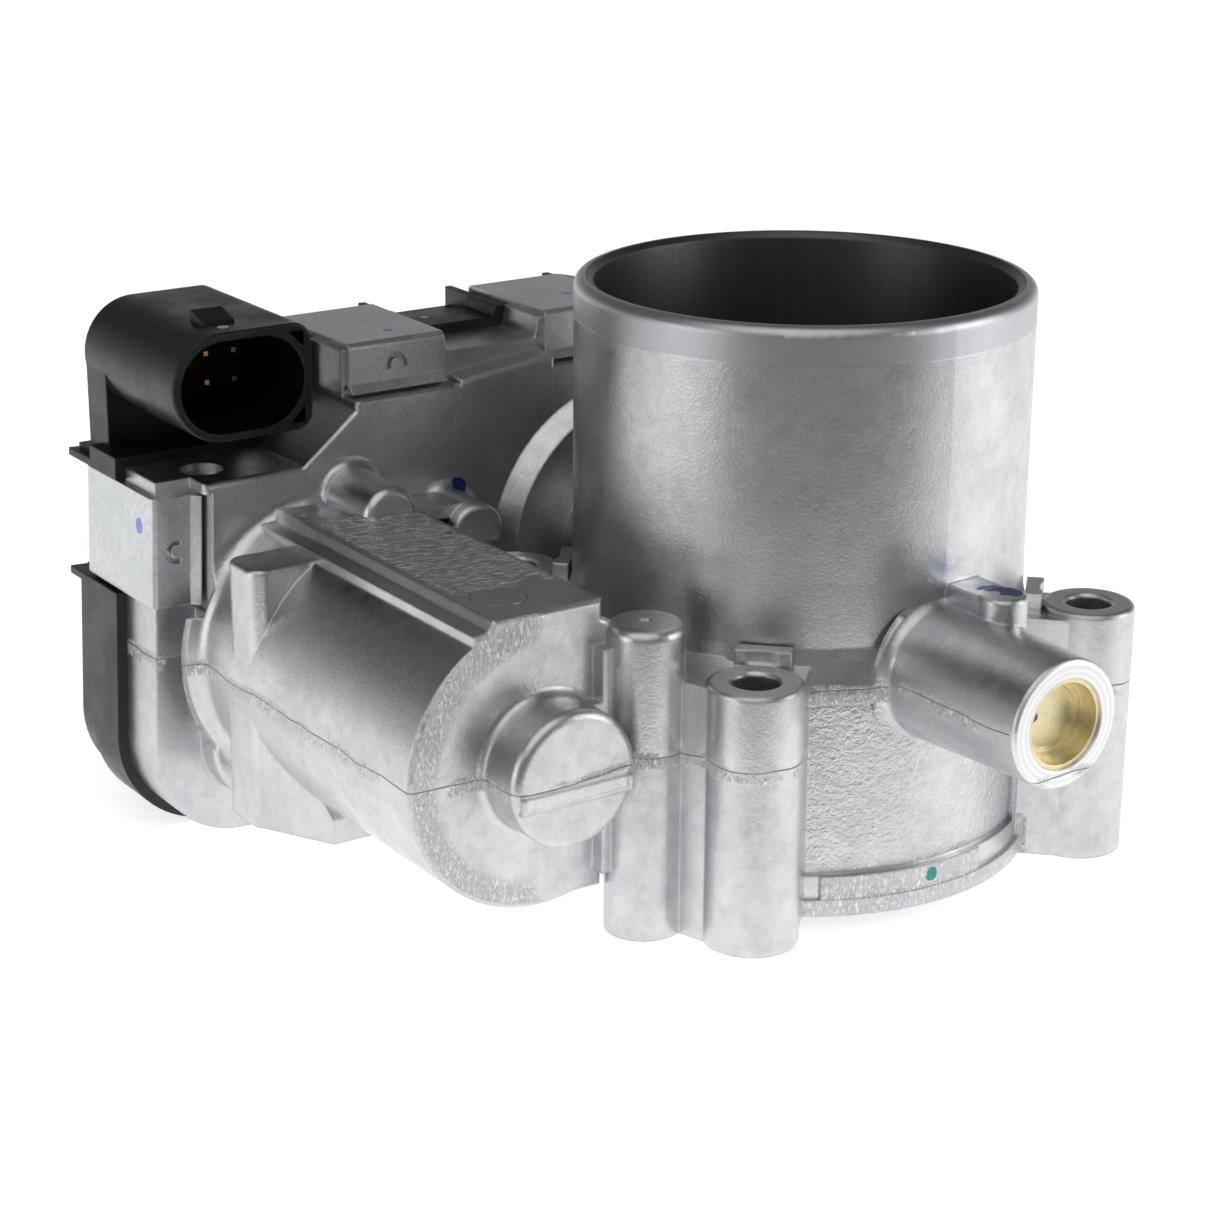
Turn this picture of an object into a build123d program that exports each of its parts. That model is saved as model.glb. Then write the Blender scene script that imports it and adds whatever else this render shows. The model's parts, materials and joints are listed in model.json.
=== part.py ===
from build123d import *
import math
import os

# Throttle body, in millimetres.
# Origin: on the airway axis, in the plane of the engine-side flange face.
# +Z runs up the airway to the hose spigot, +X along the throttle shaft to its plugged boss,
# and the drive motor lies at -Y.  The gear case closes the -X side.

# ---------------------------------------------------------------- driving sizes
# airway
BORE_R = 30.0
BORE_STRAIGHT_Z = 66.0
SPIGOT_R = 35.0
MOUTH_R = 32.1
BODY_TOP_Z = 89.0
BODY_R = 36.8
BODY_SHOULDER_Z = 35.0
SPIGOT_ROOT_Z = 39.5
SPIGOT_SEAT_Z = 51.5
SPIGOT_DRAFT = 0.15
SPIGOT_LIP_R = 1.6
PANEL_DEPTH = 0.7
PANEL_Y = (-21.5, 19.5)
FOOT_STRIP_Z = 6.3
FOOT_STRIP_Y = (-19.0, 8.0)

# mounting flange
BOLT_PITCH = 64.0
BOLT_HOLE_R = 3.5
BOLT_CHAMFER = 0.4
BOLT_BOSS_R = 7.1
BOLT_BOSS_Z = 40.0
BOLT_BOSS_EDGE_R = 0.7
TAB_WIDTH = 8.4
TAB_Z = 42.0

# throttle shaft and plate
SHAFT_Z = 36.2
SHAFT_R = 4.0
PLATE_GAP = 0.35
PLATE_T = 2.0
REST_OPEN_DEG = 7.0
FULL_OPEN_DEG = 88.0
PLATE_SCREW_R = 1.5
PLATE_SCREW_X = 12.0
SCREW_HEAD_R = 2.8
SCREW_HEAD_T = 1.6

# shaft bosses, bearings and core plug
SHAFT_BOSS_X = 61.8
SHAFT_BOSS_R = 9.6
SHAFT_BOSS_ROOT_R = 10.8
PLUG_R = 6.8
PLUG_DEPTH = 5.0
NEEDLE_CUP_R = 6.5
NEEDLE_CUP_X = (40.0, 52.0)
NEEDLE_R = 0.75
NEEDLE_COUNT = 16
BALL_OUTER_R = 11.0
BALL_WIDTH = 7.0
BALL_SINK = 0.3
BALL_COUNT = 8
RING_T = 2.0

# gear case
JOINT_X = -62.0
FLANGE_FRONT_X = -51.5
WALL_FRONT_X = -46.7
WALL_T = 2.4
CASE_ROUND_R = 38.0
END_FLAT_DEG = 15.0
CASE_LEFT_Y = -84.6
CASE_LOW_LEFT_Y = -86.5
CASE_CORNER_R = 15.0
CASE_BOTTOM_Z = -3.0
CASE_SHELF_Z = 57.0
SHELF_DIMPLE_R = 3.4
SHELF_DIMPLE_X = -54.8
SHELF_DIMPLE_Y = -75.1
CASE_TOP_Z = 73.4
TOP_DIP_Y = (-32.8, -14.6)
TOP_DIP_Z = 70.8
FRONT_LEFT_Y = -78.7
FRONT_TOP_Z = 67.0
FRONT_ROUND_TOP_Z = 69.0
FRONT_CORNER_R = 11.0
SHELF_END_Y = -61.5
INCLINE_END_Y = -51.7
INCLINE_END_Z = 64.7

# drive motor and its housing
MOTOR_Y = -58.33
MOTOR_Z = 28.57
MOTOR_HOUSING_R = 22.27
MOTOR_END_X = 17.3
MOTOR_CAP_X = 25.8
MOTOR_CAP_R = 10.3
MOTOR_FLAT_Z = 51.2
MOTOR_FLAT_Y = (-66.4, -48.3)
MOTOR_CAN_R = 18.0
MOTOR_CAN_T = 1.6
MOTOR_SHAFT_R = 1.5
MAGNET_T = 3.2
ROTOR_GAP = 1.0
PARTING_Z = 28.6

# column beside the motor
COLUMN_X = 19.9
COLUMN_Y = -42.7
COLUMN_R = 5.8
COLUMN_Z = 47.7

# gear train
PINION_TEETH = 15
IDLER_BIG_TEETH = 54
IDLER_SMALL_TEETH = 14
SECTOR_TEETH = 60
FINE_MODULE = 0.8
COARSE_MODULE = 1.0
PRESSURE_DEG = 25.0
ADDENDUM = 0.8
DEDENDUM = 1.05
TOOTH_THIN = 0.05
CENTRE_EASE = 0.05
SECTOR_X = (-59.2, -54.2)
FINE_GEAR_X = (-68.0, -62.0)
IDLER_PIN_R = 2.5
IDLER_BOSS_R = 4.9
SCREW_BOSS_R = 5.3
SCREW_BOSS_Y = -53.3
SCREW_BOSS_Z = 51.0

# cover, clips and connector
COVER_LIP = 1.7
COVER_RIM_X = -71.4
COVER_BACK_X = -80.0
COVER_WALL = 2.6
CLIP_SEAT_X = -73.5
CLIP_T = 1.0
CLIP_HOOK = 6.5
CLIP_WIDTH = 17.6
TAB_SLOT_R = 1.9
GASKET_T = 1.4
GASKET_W = 1.6
CONNECTOR_Y = (-84.2, -60.6)
CONNECTOR_Z = (63.8, 80.8)
CONNECTOR_X = (-76.0, -44.5)
CONNECTOR_WALL = 1.3
CORNER_POCKET_LEG = 2.6
CORNER_POCKET_DEPTH = 4.0
LATCH_X = (-54.6, -49.4)
LATCH_WIDTH = 5.2
LATCH_HEIGHT = 1.7
PIN_PITCH_Y = 4.8
PIN_PITCH_Z = 4.6
PIN_SIDE = 0.8

# clearances
RUNNING_GAP = 0.04
STATIC_GAP = 0.02
FREE_GAP = 0.4

# ---------------------------------------------------------------- sizes inside, most of them derived
# casting
WALL_INSIDE_X = WALL_FRONT_X - WALL_T
DEEP_POCKET_X = FLANGE_FRONT_X - 2.0
SPRING_POCKET_X = -46.6
BULGE_R = (27.1, 24.5)
BULGE_X = -43.4
BEARING_BOSS_R = 15.2
MOTOR_CAVITY_R = MOTOR_CAN_R + 0.15
MOTOR_CAVITY_END_X = 12.6
RIB_X = (-38.0, -28.6)
RIB_Y = (-80.2, -64.0)
RIB_Z = (6.4, 48.0)
GUSSET_END_X = -18.0
STOP_R = (24.5, 36.0)
STOP_HALF_T = 1.6
STOP_GAP_DEG = 1.0

# throttle, bearing seat and seal
BALL_SEAT_X = (-50.2, -50.2 + BALL_WIDTH)
BALL_R = (BALL_OUTER_R - SHAFT_R) / 2 - RING_T + BALL_SINK
SEAL_R = 8.0
SEAL_W = 3.4
SHAFT_X = (SECTOR_X[0] - 3.5, NEEDLE_CUP_X[1] + 1.5)
PLATE_R = BORE_R - PLATE_GAP
SECTOR_HUB_R = 8.6
MAGNET_X = (SECTOR_X[0] - 12.3, SECTOR_X[0] - 10.3)

# motor
ROTOR_CORE_R = MOTOR_CAN_R - MOTOR_CAN_T - MAGNET_T - ROTOR_GAP
MOTOR_X = (-48.6, MOTOR_CAVITY_END_X - 1.2)
MOTOR_PLATE_X = (-51.2, WALL_INSIDE_X)
MOTOR_SCREW_R = 1.5
MOTOR_EAR_R = 3.6
BUSH_R = 3.8

# cover, connector and electrics
COVER_FLOOR_X = COVER_BACK_X + COVER_WALL
GASKET_GROOVE_X = JOINT_X - GASKET_T
SOCKET_FLOOR_X = CONNECTOR_X[0] + 10.0
PIN_X = (SOCKET_FLOOR_X - 5.0, SOCKET_FLOOR_X + 9.0)
BOARD_X = (COVER_FLOOR_X + 1.2, COVER_FLOOR_X + 2.8)


# ---------------------------------------------------------------- simple shapes
def cyl_x(radius, x0, x1, y=0.0, z=SHAFT_Z):
    """A round bar along X."""
    return Pos((x0 + x1) / 2, y, z) * Rot(0, 90, 0) * Cylinder(radius, x1 - x0)


def cyl_z(radius, z0, z1, x=0.0, y=0.0):
    """A round bar along Z."""
    return Pos(x, y, (z0 + z1) / 2) * Cylinder(radius, z1 - z0)


def ring_x(outer, inner, x0, x1, y=0.0, z=SHAFT_Z):
    """A plain ring along X."""
    return cyl_x(outer, x0, x1, y, z) - cyl_x(inner, x0 - 1, x1 + 1, y, z)


def cone_x(r0, r1, x0, x1, y=0.0, z=SHAFT_Z):
    """A tapered round bar along X, r0 at x0 and r1 at x1."""
    return Pos((x0 + x1) / 2, y, z) * Rot(0, 90, 0) * Cone(r0, r1, x1 - x0)


def cone_z(r0, r1, z0, z1, x=0.0, y=0.0):
    """A tapered round bar along Z, r0 at z0 and r1 at z1."""
    return Pos(x, y, (z0 + z1) / 2) * Cone(r0, r1, z1 - z0)


def flare_x(radius, x, size, y=0.0, z=SHAFT_Z):
    """Concave fillet ring between a wall at x and a bar that runs from it toward +X."""
    hollow = Pos(x + size, y, z) * Rot(0, 90, 0) * Torus(radius + size, size)
    return cyl_x(radius + size, x, x + size, y, z) - hollow


def rounded_end(bar, axis, edge_r):
    """A bar with the edges of its far end along an axis rounded."""
    return fillet(bar.edges().group_by(axis)[-1], edge_r)


def block(x, y, z):
    """A box given by its (low, high) span on each axis."""
    size = (x[1] - x[0], y[1] - y[0], z[1] - z[0])
    return Pos((x[0] + x[1]) / 2, (y[0] + y[1]) / 2, (z[0] + z[1]) / 2) * Box(*size)


def slab_x(face, x0, x1):
    """Thickens a face drawn in the Y-Z plane into a slab between x0 and x1."""
    return extrude(Pos(x0, 0, 0) * face, amount=x1 - x0, dir=(1, 0, 0))


def prism_x(points, x0, x1):
    """A prism along X with a straight-sided (y, z) section."""
    outline = Polyline([(0, y, z) for y, z in points], close=True)
    return slab_x(make_face(outline), x0, x1)


def prism_y(points, y0, y1):
    """A prism along Y with a straight-sided (x, z) section."""
    outline = Polyline([(x, y0, z) for x, z in points], close=True)
    return extrude(make_face(outline), amount=y1 - y0, dir=(0, 1, 0))


def prism_z(points, z0, z1):
    """A prism along Z with a straight-sided (x, y) section."""
    outline = Polyline([(x, y, z0) for x, y in points], close=True)
    return extrude(make_face(outline), amount=z1 - z0, dir=(0, 0, 1))


def one_solid(shape):
    """The largest solid of a shape, as a plain part."""
    solids = sorted(shape.solids(), key=lambda solid: solid.volume)
    return Part() + solids[-1]


def about_x(shape, degrees, y=0.0, z=SHAFT_Z):
    """Turns a shape about an axis that runs along X through (y, z)."""
    return shape.rotate(Axis((0, y, z), (1, 0, 0)), degrees)


# ---------------------------------------------------------------- gear train layout
def idler_axis():
    """(y, z) of the idler, where the two centre distances meet above the motor."""
    to_motor = FINE_MODULE * (PINION_TEETH + IDLER_BIG_TEETH) / 2 + CENTRE_EASE
    to_shaft = COARSE_MODULE * (IDLER_SMALL_TEETH + SECTOR_TEETH) / 2 + CENTRE_EASE
    dy = MOTOR_Y
    dz = MOTOR_Z - SHAFT_Z
    span = math.hypot(dy, dz)
    along = (to_shaft**2 - to_motor**2 + span**2) / (2 * span)
    off = math.sqrt(to_shaft**2 - along**2)
    y = along * dy / span + off * dz / span
    z = SHAFT_Z + along * dz / span - off * dy / span
    return y, z


IDLER_Y, IDLER_Z = idler_axis()
SHAFT_TO_IDLER_DEG = math.degrees(math.atan2(IDLER_Z - SHAFT_Z, IDLER_Y))
IDLER_TO_MOTOR_DEG = math.degrees(math.atan2(MOTOR_Z - IDLER_Z, MOTOR_Y - IDLER_Y))
SECTOR_MARGIN_DEG = 9.0
SECTOR_FROM_DEG = SHAFT_TO_IDLER_DEG - (FULL_OPEN_DEG - REST_OPEN_DEG) - SECTOR_MARGIN_DEG
SECTOR_TO_DEG = SHAFT_TO_IDLER_DEG + REST_OPEN_DEG + SECTOR_MARGIN_DEG


def tooth_angles(teeth, module, radius):
    """Half the angle of a tooth, in radians, at a radius on its involute flank."""
    pressure = math.radians(PRESSURE_DEG)
    pitch_r = teeth * module / 2
    base_r = pitch_r * math.cos(pressure)
    at_radius = math.acos(min(1.0, base_r / radius))
    half_at_pitch = math.pi / (2 * teeth) - TOOTH_THIN / pitch_r
    return half_at_pitch + (math.tan(pressure) - pressure) - (math.tan(at_radius) - at_radius)


def gear_section(teeth, module, tooth_deg, y, z, wanted=None):
    """The toothed outline of a gear, with a tooth centred on tooth_deg.

    wanted is a (from, to) span of degrees that keeps its teeth; the rest stays at root size.
    """
    pitch_r = teeth * module / 2
    tip_r = pitch_r + ADDENDUM * module
    root_r = pitch_r - DEDENDUM * module
    base_r = pitch_r * math.cos(math.radians(PRESSURE_DEG))
    low_r = max(base_r, root_r + 0.05 * module)
    radii = [low_r + (tip_r - low_r) * step / 4 for step in range(5)]
    points = []
    for tooth in range(teeth):
        centre_deg = tooth_deg + 360.0 * tooth / teeth
        if wanted and not wanted[0] <= (centre_deg - wanted[0]) % 360 + wanted[0] <= wanted[1]:
            points.append((root_r, math.radians(centre_deg)))
            continue
        centre = math.radians(centre_deg)
        root_half = tooth_angles(teeth, module, low_r)
        points.append((root_r, centre - root_half))
        points += [(r, centre - tooth_angles(teeth, module, r)) for r in radii]
        points += [(r, centre + tooth_angles(teeth, module, r)) for r in reversed(radii)]
        points.append((root_r, centre + root_half))
    return [(y + r * math.cos(a), z + r * math.sin(a)) for r, a in points]


def gear(teeth, module, tooth_deg, y, z, x_span, wanted=None):
    """A gear wheel along X."""
    return prism_x(gear_section(teeth, module, tooth_deg, y, z, wanted), x_span[0], x_span[1])


# ---------------------------------------------------------------- gear case outlines
def joint_outline():
    """Face of the joint between casting and cover, in the Y-Z plane."""
    round_low = (0, 0, SHAFT_Z - CASE_ROUND_R)
    round_high = (0, 0, SHAFT_Z + CASE_ROUND_R)
    low_y = CASE_LOW_LEFT_Y + CASE_CORNER_R
    low_z = CASE_BOTTOM_Z + CASE_CORNER_R
    corner = CASE_CORNER_R * math.sqrt(0.5)
    left = Line((0, CASE_LEFT_Y, CASE_SHELF_Z), (0, CASE_LOW_LEFT_Y, low_z))
    bend = ThreePointArc(
        (0, CASE_LOW_LEFT_Y, low_z), (0, low_y - corner, low_z - corner), (0, low_y, CASE_BOTTOM_Z)
    )
    base = Line((0, low_y, CASE_BOTTOM_Z), round_low)
    flat_y = CASE_ROUND_R * math.cos(math.radians(END_FLAT_DEG))
    flat_z = CASE_ROUND_R * math.sin(math.radians(END_FLAT_DEG))
    round_45 = CASE_ROUND_R * math.sqrt(0.5)
    end_low = ThreePointArc(round_low, (0, round_45, SHAFT_Z - round_45), (0, flat_y, SHAFT_Z - flat_z))
    end_flat = Line((0, flat_y, SHAFT_Z - flat_z), (0, flat_y, SHAFT_Z + flat_z))
    end_high = ThreePointArc((0, flat_y, SHAFT_Z + flat_z), (0, round_45, SHAFT_Z + round_45), round_high)
    top = Polyline(
        round_high,
        (0, TOP_DIP_Y[1], SHAFT_Z + CASE_ROUND_R),
        (0, TOP_DIP_Y[1] - 0.8, TOP_DIP_Z),
        (0, TOP_DIP_Y[0] + 0.8, TOP_DIP_Z),
        (0, TOP_DIP_Y[0], CASE_TOP_Z),
        (0, INCLINE_END_Y, CASE_TOP_Z),
        (0, INCLINE_END_Y, INCLINE_END_Z),
        (0, SHELF_END_Y, CASE_SHELF_Z),
        (0, CASE_LEFT_Y, CASE_SHELF_Z),
    )
    return make_face([left, bend, base, end_low, end_flat, end_high, top])


def front_outline():
    """Face of the gear case's front wall, in the Y-Z plane."""
    inset = CASE_ROUND_R - (FRONT_ROUND_TOP_Z - SHAFT_Z)
    round_r = CASE_ROUND_R - inset
    round_low = (0, 0, SHAFT_Z - round_r)
    round_high = (0, 0, SHAFT_Z + round_r)
    low_z = CASE_BOTTOM_Z + inset + FRONT_CORNER_R
    low_y = FRONT_LEFT_Y + FRONT_CORNER_R
    corner = FRONT_CORNER_R * math.sqrt(0.5)
    left = Line((0, FRONT_LEFT_Y, CASE_SHELF_Z), (0, FRONT_LEFT_Y, low_z))
    bend = ThreePointArc(
        (0, FRONT_LEFT_Y, low_z),
        (0, low_y - corner, low_z - corner),
        (0, low_y, low_z - FRONT_CORNER_R),
    )
    base = Line((0, low_y, low_z - FRONT_CORNER_R), round_low)
    end = ThreePointArc(round_low, (0, round_r, SHAFT_Z), round_high)
    top = Polyline(
        round_high,
        (0, -15.2, SHAFT_Z + round_r),
        (0, -32.8, FRONT_TOP_Z),
        (0, INCLINE_END_Y, FRONT_TOP_Z),
        (0, INCLINE_END_Y, INCLINE_END_Z),
        (0, SHELF_END_Y, CASE_SHELF_Z),
        (0, FRONT_LEFT_Y, CASE_SHELF_Z),
    )
    return make_face([left, bend, base, end, top])


def grown(face, amount):
    """The same outline moved outward, or inward when amount is negative."""
    return offset(face, amount=amount, kind=Kind.INTERSECTION)


# ---------------------------------------------------------------- clip places
def clip_places():
    """(y, z, degrees) of each clip's web centre on the joint outline, web facing outward."""
    top_two_z = SHAFT_Z + CASE_ROUND_R
    lower_slope = (CASE_LOW_LEFT_Y - CASE_LEFT_Y) / (CASE_SHELF_Z - CASE_BOTTOM_Z - CASE_CORNER_R)
    left_z = 45.9
    left_y = CASE_LEFT_Y + lower_slope * (CASE_SHELF_Z - left_z)
    left_deg = 90.0 + math.degrees(math.atan(lower_slope))
    base_slope = (SHAFT_Z - CASE_ROUND_R - CASE_BOTTOM_Z) / -(CASE_LOW_LEFT_Y + CASE_CORNER_R)
    base_deg = 180.0 + math.degrees(math.atan(base_slope))
    base_at = [(y, SHAFT_Z - CASE_ROUND_R + base_slope * y) for y in (-58.0, -16.0)]
    places = [(left_y, left_z, left_deg)]
    places.append((-42.1, CASE_TOP_Z, 0.0))
    places.append((-5.2, top_two_z, 0.0))
    places += [(y, z, base_deg) for y, z in base_at]
    places.append((CASE_ROUND_R * math.cos(math.radians(END_FLAT_DEG)), SHAFT_Z, -90.0))
    return places


def at_clip(shape, place):
    """Moves a shape drawn about a web centre at the origin, facing +Z, to a clip's place."""
    y, z, degrees = place
    return Pos(0, y, z) * (Rot(degrees, 0, 0) * shape)


# ---------------------------------------------------------------- casting
def flange_bolts():
    """(x, y) of the four flange bolt holes."""
    half = BOLT_PITCH / 2
    return [(sx * half, sy * half) for sx in (-1, 1) for sy in (-1, 1)]


def airway_body():
    """Round body, spigot, bolt bosses and the ring at the flange face."""
    body = cyl_z(BODY_R, 0, BODY_SHOULDER_Z)
    body += cone_z(BODY_R, SPIGOT_R + 0.6, BODY_SHOULDER_Z, SPIGOT_ROOT_Z)
    body += cyl_z(BODY_R + 0.6, 0, 2.6)
    root_r = SPIGOT_R + SPIGOT_DRAFT
    body += cone_z(SPIGOT_R + 0.6, root_r, SPIGOT_ROOT_Z, SPIGOT_ROOT_Z + 2)
    body += cone_z(root_r, SPIGOT_R, SPIGOT_ROOT_Z + 2, SPIGOT_SEAT_Z)
    body += rounded_end(cyl_z(SPIGOT_R, SPIGOT_SEAT_Z, BODY_TOP_Z), Axis.Z, SPIGOT_LIP_R)
    body -= panel_pocket()
    body += cyl_z(BODY_R + 0.5, 0, FOOT_STRIP_Z) & block((0, BODY_R + 1), FOOT_STRIP_Y, (0, FOOT_STRIP_Z))
    for x, y in flange_bolts():
        body += rounded_end(cyl_z(BOLT_BOSS_R, 0, BOLT_BOSS_Z, x, y), Axis.Z, BOLT_BOSS_EDGE_R)
        body += bolt_web(x, y)
    return body


def bolt_web(x, y):
    """Web from a bolt boss in to the round body, with a low tab on top."""
    direction = math.degrees(math.atan2(y, x))
    reach = math.hypot(x, y)
    half = BOLT_BOSS_R - 0.5
    web = block((SPIGOT_R - 4, reach), (-half, half), (0, BOLT_BOSS_Z - 1.2))
    tab = block((SPIGOT_R + 0.6, SPIGOT_R + 3.2), (-TAB_WIDTH / 2, TAB_WIDTH / 2), (BOLT_BOSS_Z - 3, TAB_Z))
    return Rot(0, 0, direction) * (web + tab)


def panel_pocket():
    """Shallow as-cast panel sunk into the round body between the two bosses at +X."""
    band = cyl_z(BODY_R + 3, FOOT_STRIP_Z, BODY_SHOULDER_Z - 1.6) - cyl_z(BODY_R - PANEL_DEPTH, 0, BODY_TOP_Z)
    return band & block((0, BODY_R + 3), PANEL_Y, (0, BODY_TOP_Z))


def shaft_boss():
    """Boss that carries the plugged end of the shaft, with the lug on its top."""
    bar = cone_x(SHAFT_BOSS_ROOT_R, SHAFT_BOSS_R, BODY_R - 6, SHAFT_BOSS_X)
    boss = rounded_end(bar, Axis.X, 0.6)
    boss += flare_x(SHAFT_BOSS_ROOT_R - 0.3, BODY_R - 2.4, 2.3)
    lug_top = SHAFT_Z + SHAFT_BOSS_R + 4.0
    lug = block((SPIGOT_R - 3, 43.0), (0.0, 7.0), (SHAFT_Z, lug_top - 0.3))
    boss += fillet(lug.edges().group_by(Axis.Z)[-1], 0.6)
    boss += rounded_end(cyl_z(3.7, SHAFT_Z, lug_top, 43.5, 3.6), Axis.Z, 0.7)
    return boss


def motor_housing():
    """Cylinder over the motor, its flat top, squared end, end cap and side rib."""
    shell = cyl_x(MOTOR_HOUSING_R, WALL_FRONT_X - 1, MOTOR_END_X, MOTOR_Y, MOTOR_Z)
    step = 1.9
    crown = [
        (MOTOR_FLAT_Y[0], MOTOR_FLAT_Z),
        (MOTOR_FLAT_Y[1], MOTOR_FLAT_Z),
        (MOTOR_FLAT_Y[1], PARTING_Z - 21.7),
        (MOTOR_Y + 2, PARTING_Z - 21.7),
        (MOTOR_Y, MOTOR_Z),
        (MOTOR_FLAT_Y[0] - 3.2, MOTOR_Z),
        (MOTOR_FLAT_Y[0] - 3.2, MOTOR_FLAT_Z - step),
        (MOTOR_FLAT_Y[0] - 0.9, MOTOR_FLAT_Z - step + 0.4),
    ]
    shell += prism_x(crown, WALL_FRONT_X - 1, MOTOR_END_X)
    shell = chamfer(shell.faces().sort_by(Axis.X)[-1].edges(), 0.6)
    shell += flare_x(MOTOR_HOUSING_R, WALL_FRONT_X, 3.2, MOTOR_Y, MOTOR_Z)
    shell += flare_x(MOTOR_CAP_R, MOTOR_END_X, 1.2, MOTOR_Y, MOTOR_Z)
    cap = cyl_x(MOTOR_CAP_R, MOTOR_END_X, MOTOR_CAP_X, MOTOR_Y, MOTOR_Z)
    shell += rounded_end(cap, Axis.X, 1.5)
    strip_z = (PARTING_Z - 3.4, PARTING_Z - 1.0)
    shell += block((MOTOR_END_X, MOTOR_CAP_X + 0.4), (MOTOR_Y - 9.4, MOTOR_Y + 9.4), strip_z)
    rib = block(RIB_X, RIB_Y, RIB_Z)
    rib = fillet(rib.edges().filter_by(Axis.Z).group_by(Axis.Y)[0], 2.6)
    shell += fillet(rib.edges().group_by(Axis.Z)[-1], 0.7)
    return shell + rib_gusset()


def rib_gusset():
    """Wedge that spreads the lower half of the side rib onto the underside of the motor housing."""
    plan = [
        (RIB_X[0], RIB_Y[0]),
        (RIB_X[1] - 2.4, RIB_Y[0]),
        (GUSSET_END_X, MOTOR_Y - 15.0),
        (GUSSET_END_X, RIB_Y[1]),
        (RIB_X[0], RIB_Y[1]),
    ]
    side = [
        (RIB_X[0], RIB_Z[0]),
        (GUSSET_END_X, RIB_Z[0]),
        (GUSSET_END_X, RIB_Z[0] + 4.0),
        (RIB_X[1], PARTING_Z),
        (RIB_X[0], PARTING_Z),
    ]
    return prism_z(plan, RIB_Z[0], PARTING_Z) & prism_y(side, RIB_Y[0] - 1, RIB_Y[1])


def gear_case():
    """Outside of the gear case: joint flange, front wall, bearing bulge and small bosses."""
    case = slab_x(joint_outline(), JOINT_X, FLANGE_FRONT_X)
    front = slab_x(front_outline(), FLANGE_FRONT_X - 1, WALL_FRONT_X)
    case += fillet(front.faces().sort_by(Axis.X)[-1].edges(), 0.9)
    case += cone_x(BULGE_R[0], BULGE_R[1], WALL_FRONT_X - 0.1, BULGE_X)
    case += cyl_x(BEARING_BOSS_R, BULGE_X - 1, -BODY_R + 6)
    case += flare_x(SCREW_BOSS_R, WALL_FRONT_X, 1.4, SCREW_BOSS_Y, SCREW_BOSS_Z)
    screw_boss = cone_x(SCREW_BOSS_R, SCREW_BOSS_R - 0.6, WALL_FRONT_X - 1, -33.0, SCREW_BOSS_Y, SCREW_BOSS_Z)
    case += rounded_end(screw_boss, Axis.X, 1.6)
    case += flare_x(IDLER_BOSS_R, WALL_FRONT_X, 1.4, IDLER_Y, IDLER_Z)
    idler_boss = cone_x(IDLER_BOSS_R, IDLER_BOSS_R - 0.3, WALL_FRONT_X - 1, -36.0, IDLER_Y, IDLER_Z)
    case += rounded_end(idler_boss, Axis.X, 0.8)
    ridge_top = IDLER_Z + IDLER_BOSS_R
    ridge = [(SCREW_BOSS_Y, ridge_top - 2.4), (IDLER_Y, ridge_top - 2.4), (IDLER_Y, ridge_top - 0.4),
             (SCREW_BOSS_Y, ridge_top)]
    case += prism_x(ridge, WALL_FRONT_X - 1, -38.5)
    return case


def idler_seat():
    """Boss inside the gear case that spaces the idler off the front wall."""
    return cyl_x(4.4, SECTOR_X[1] + 0.5 + FREE_GAP, WALL_INSIDE_X + 1, IDLER_Y, IDLER_Z)


def bridge_webs():
    """Webs that tie the gear case and the motor housing to the round body."""
    low = block((WALL_FRONT_X - 1, -24), (-26, 26), (0, 6))
    side = block((-40, -24), (-30, 30), (0, 3.5))
    join = block((-24, COLUMN_X), (MOTOR_Y, -25), (PARTING_Z - 8, PARTING_Z + 8))
    column = rounded_end(cyl_z(COLUMN_R, 0, COLUMN_Z, COLUMN_X, COLUMN_Y), Axis.Z, 1.6)
    column -= cyl_z(0.8, COLUMN_Z - 0.5, COLUMN_Z + 1, COLUMN_X, COLUMN_Y)
    tie_outline = [(20.0, -40.5), (23.4, -40.5), (29.4, -38.6), (29.2, -27.0), (14.0, -31.0)]
    tie = prism_z(tie_outline, 0, BOLT_BOSS_Z - 0.6)
    inner_tie = block((12.0, 24.0), (-41.0, -28.0), (0, BOLT_BOSS_Z - 2.4))
    motor_tie = block((10.0, COLUMN_X), (-50.0, COLUMN_Y), (10.0, COLUMN_Z - 3.2))
    return low + side + join + column + tie + inner_tie + motor_tie


def stop_lug(degrees):
    """Cast stop on the pocket wall for the sector gear, centred on an angle about the shaft."""
    lug = block((SECTOR_X[0] - 1, WALL_INSIDE_X + 1), STOP_R, (-STOP_HALF_T, STOP_HALF_T))
    return about_x(Pos(0, 0, SHAFT_Z) * lug, degrees)


def deep_pocket():
    """Hollow of the gear case behind its front wall, one wall thickness inside the front outline."""
    inset = CASE_ROUND_R - (FRONT_ROUND_TOP_Z - SHAFT_Z)
    x_span = (DEEP_POCKET_X - 1, WALL_INSIDE_X)
    low_z = CASE_BOTTOM_Z + inset + WALL_T
    left = block(x_span, (FRONT_LEFT_Y + WALL_T, 0), (low_z, CASE_SHELF_Z - WALL_T))
    corner = left.edges().filter_by(Axis.X).group_by(Axis.Y)[0]
    hollow = fillet(corner, FRONT_CORNER_R - WALL_T)
    hollow += block(x_span, (INCLINE_END_Y + WALL_T, 0), (SHAFT_Z, FRONT_TOP_Z - WALL_T))
    hollow += cyl_x(CASE_ROUND_R - inset - WALL_T, x_span[0], x_span[1])
    return hollow


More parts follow.
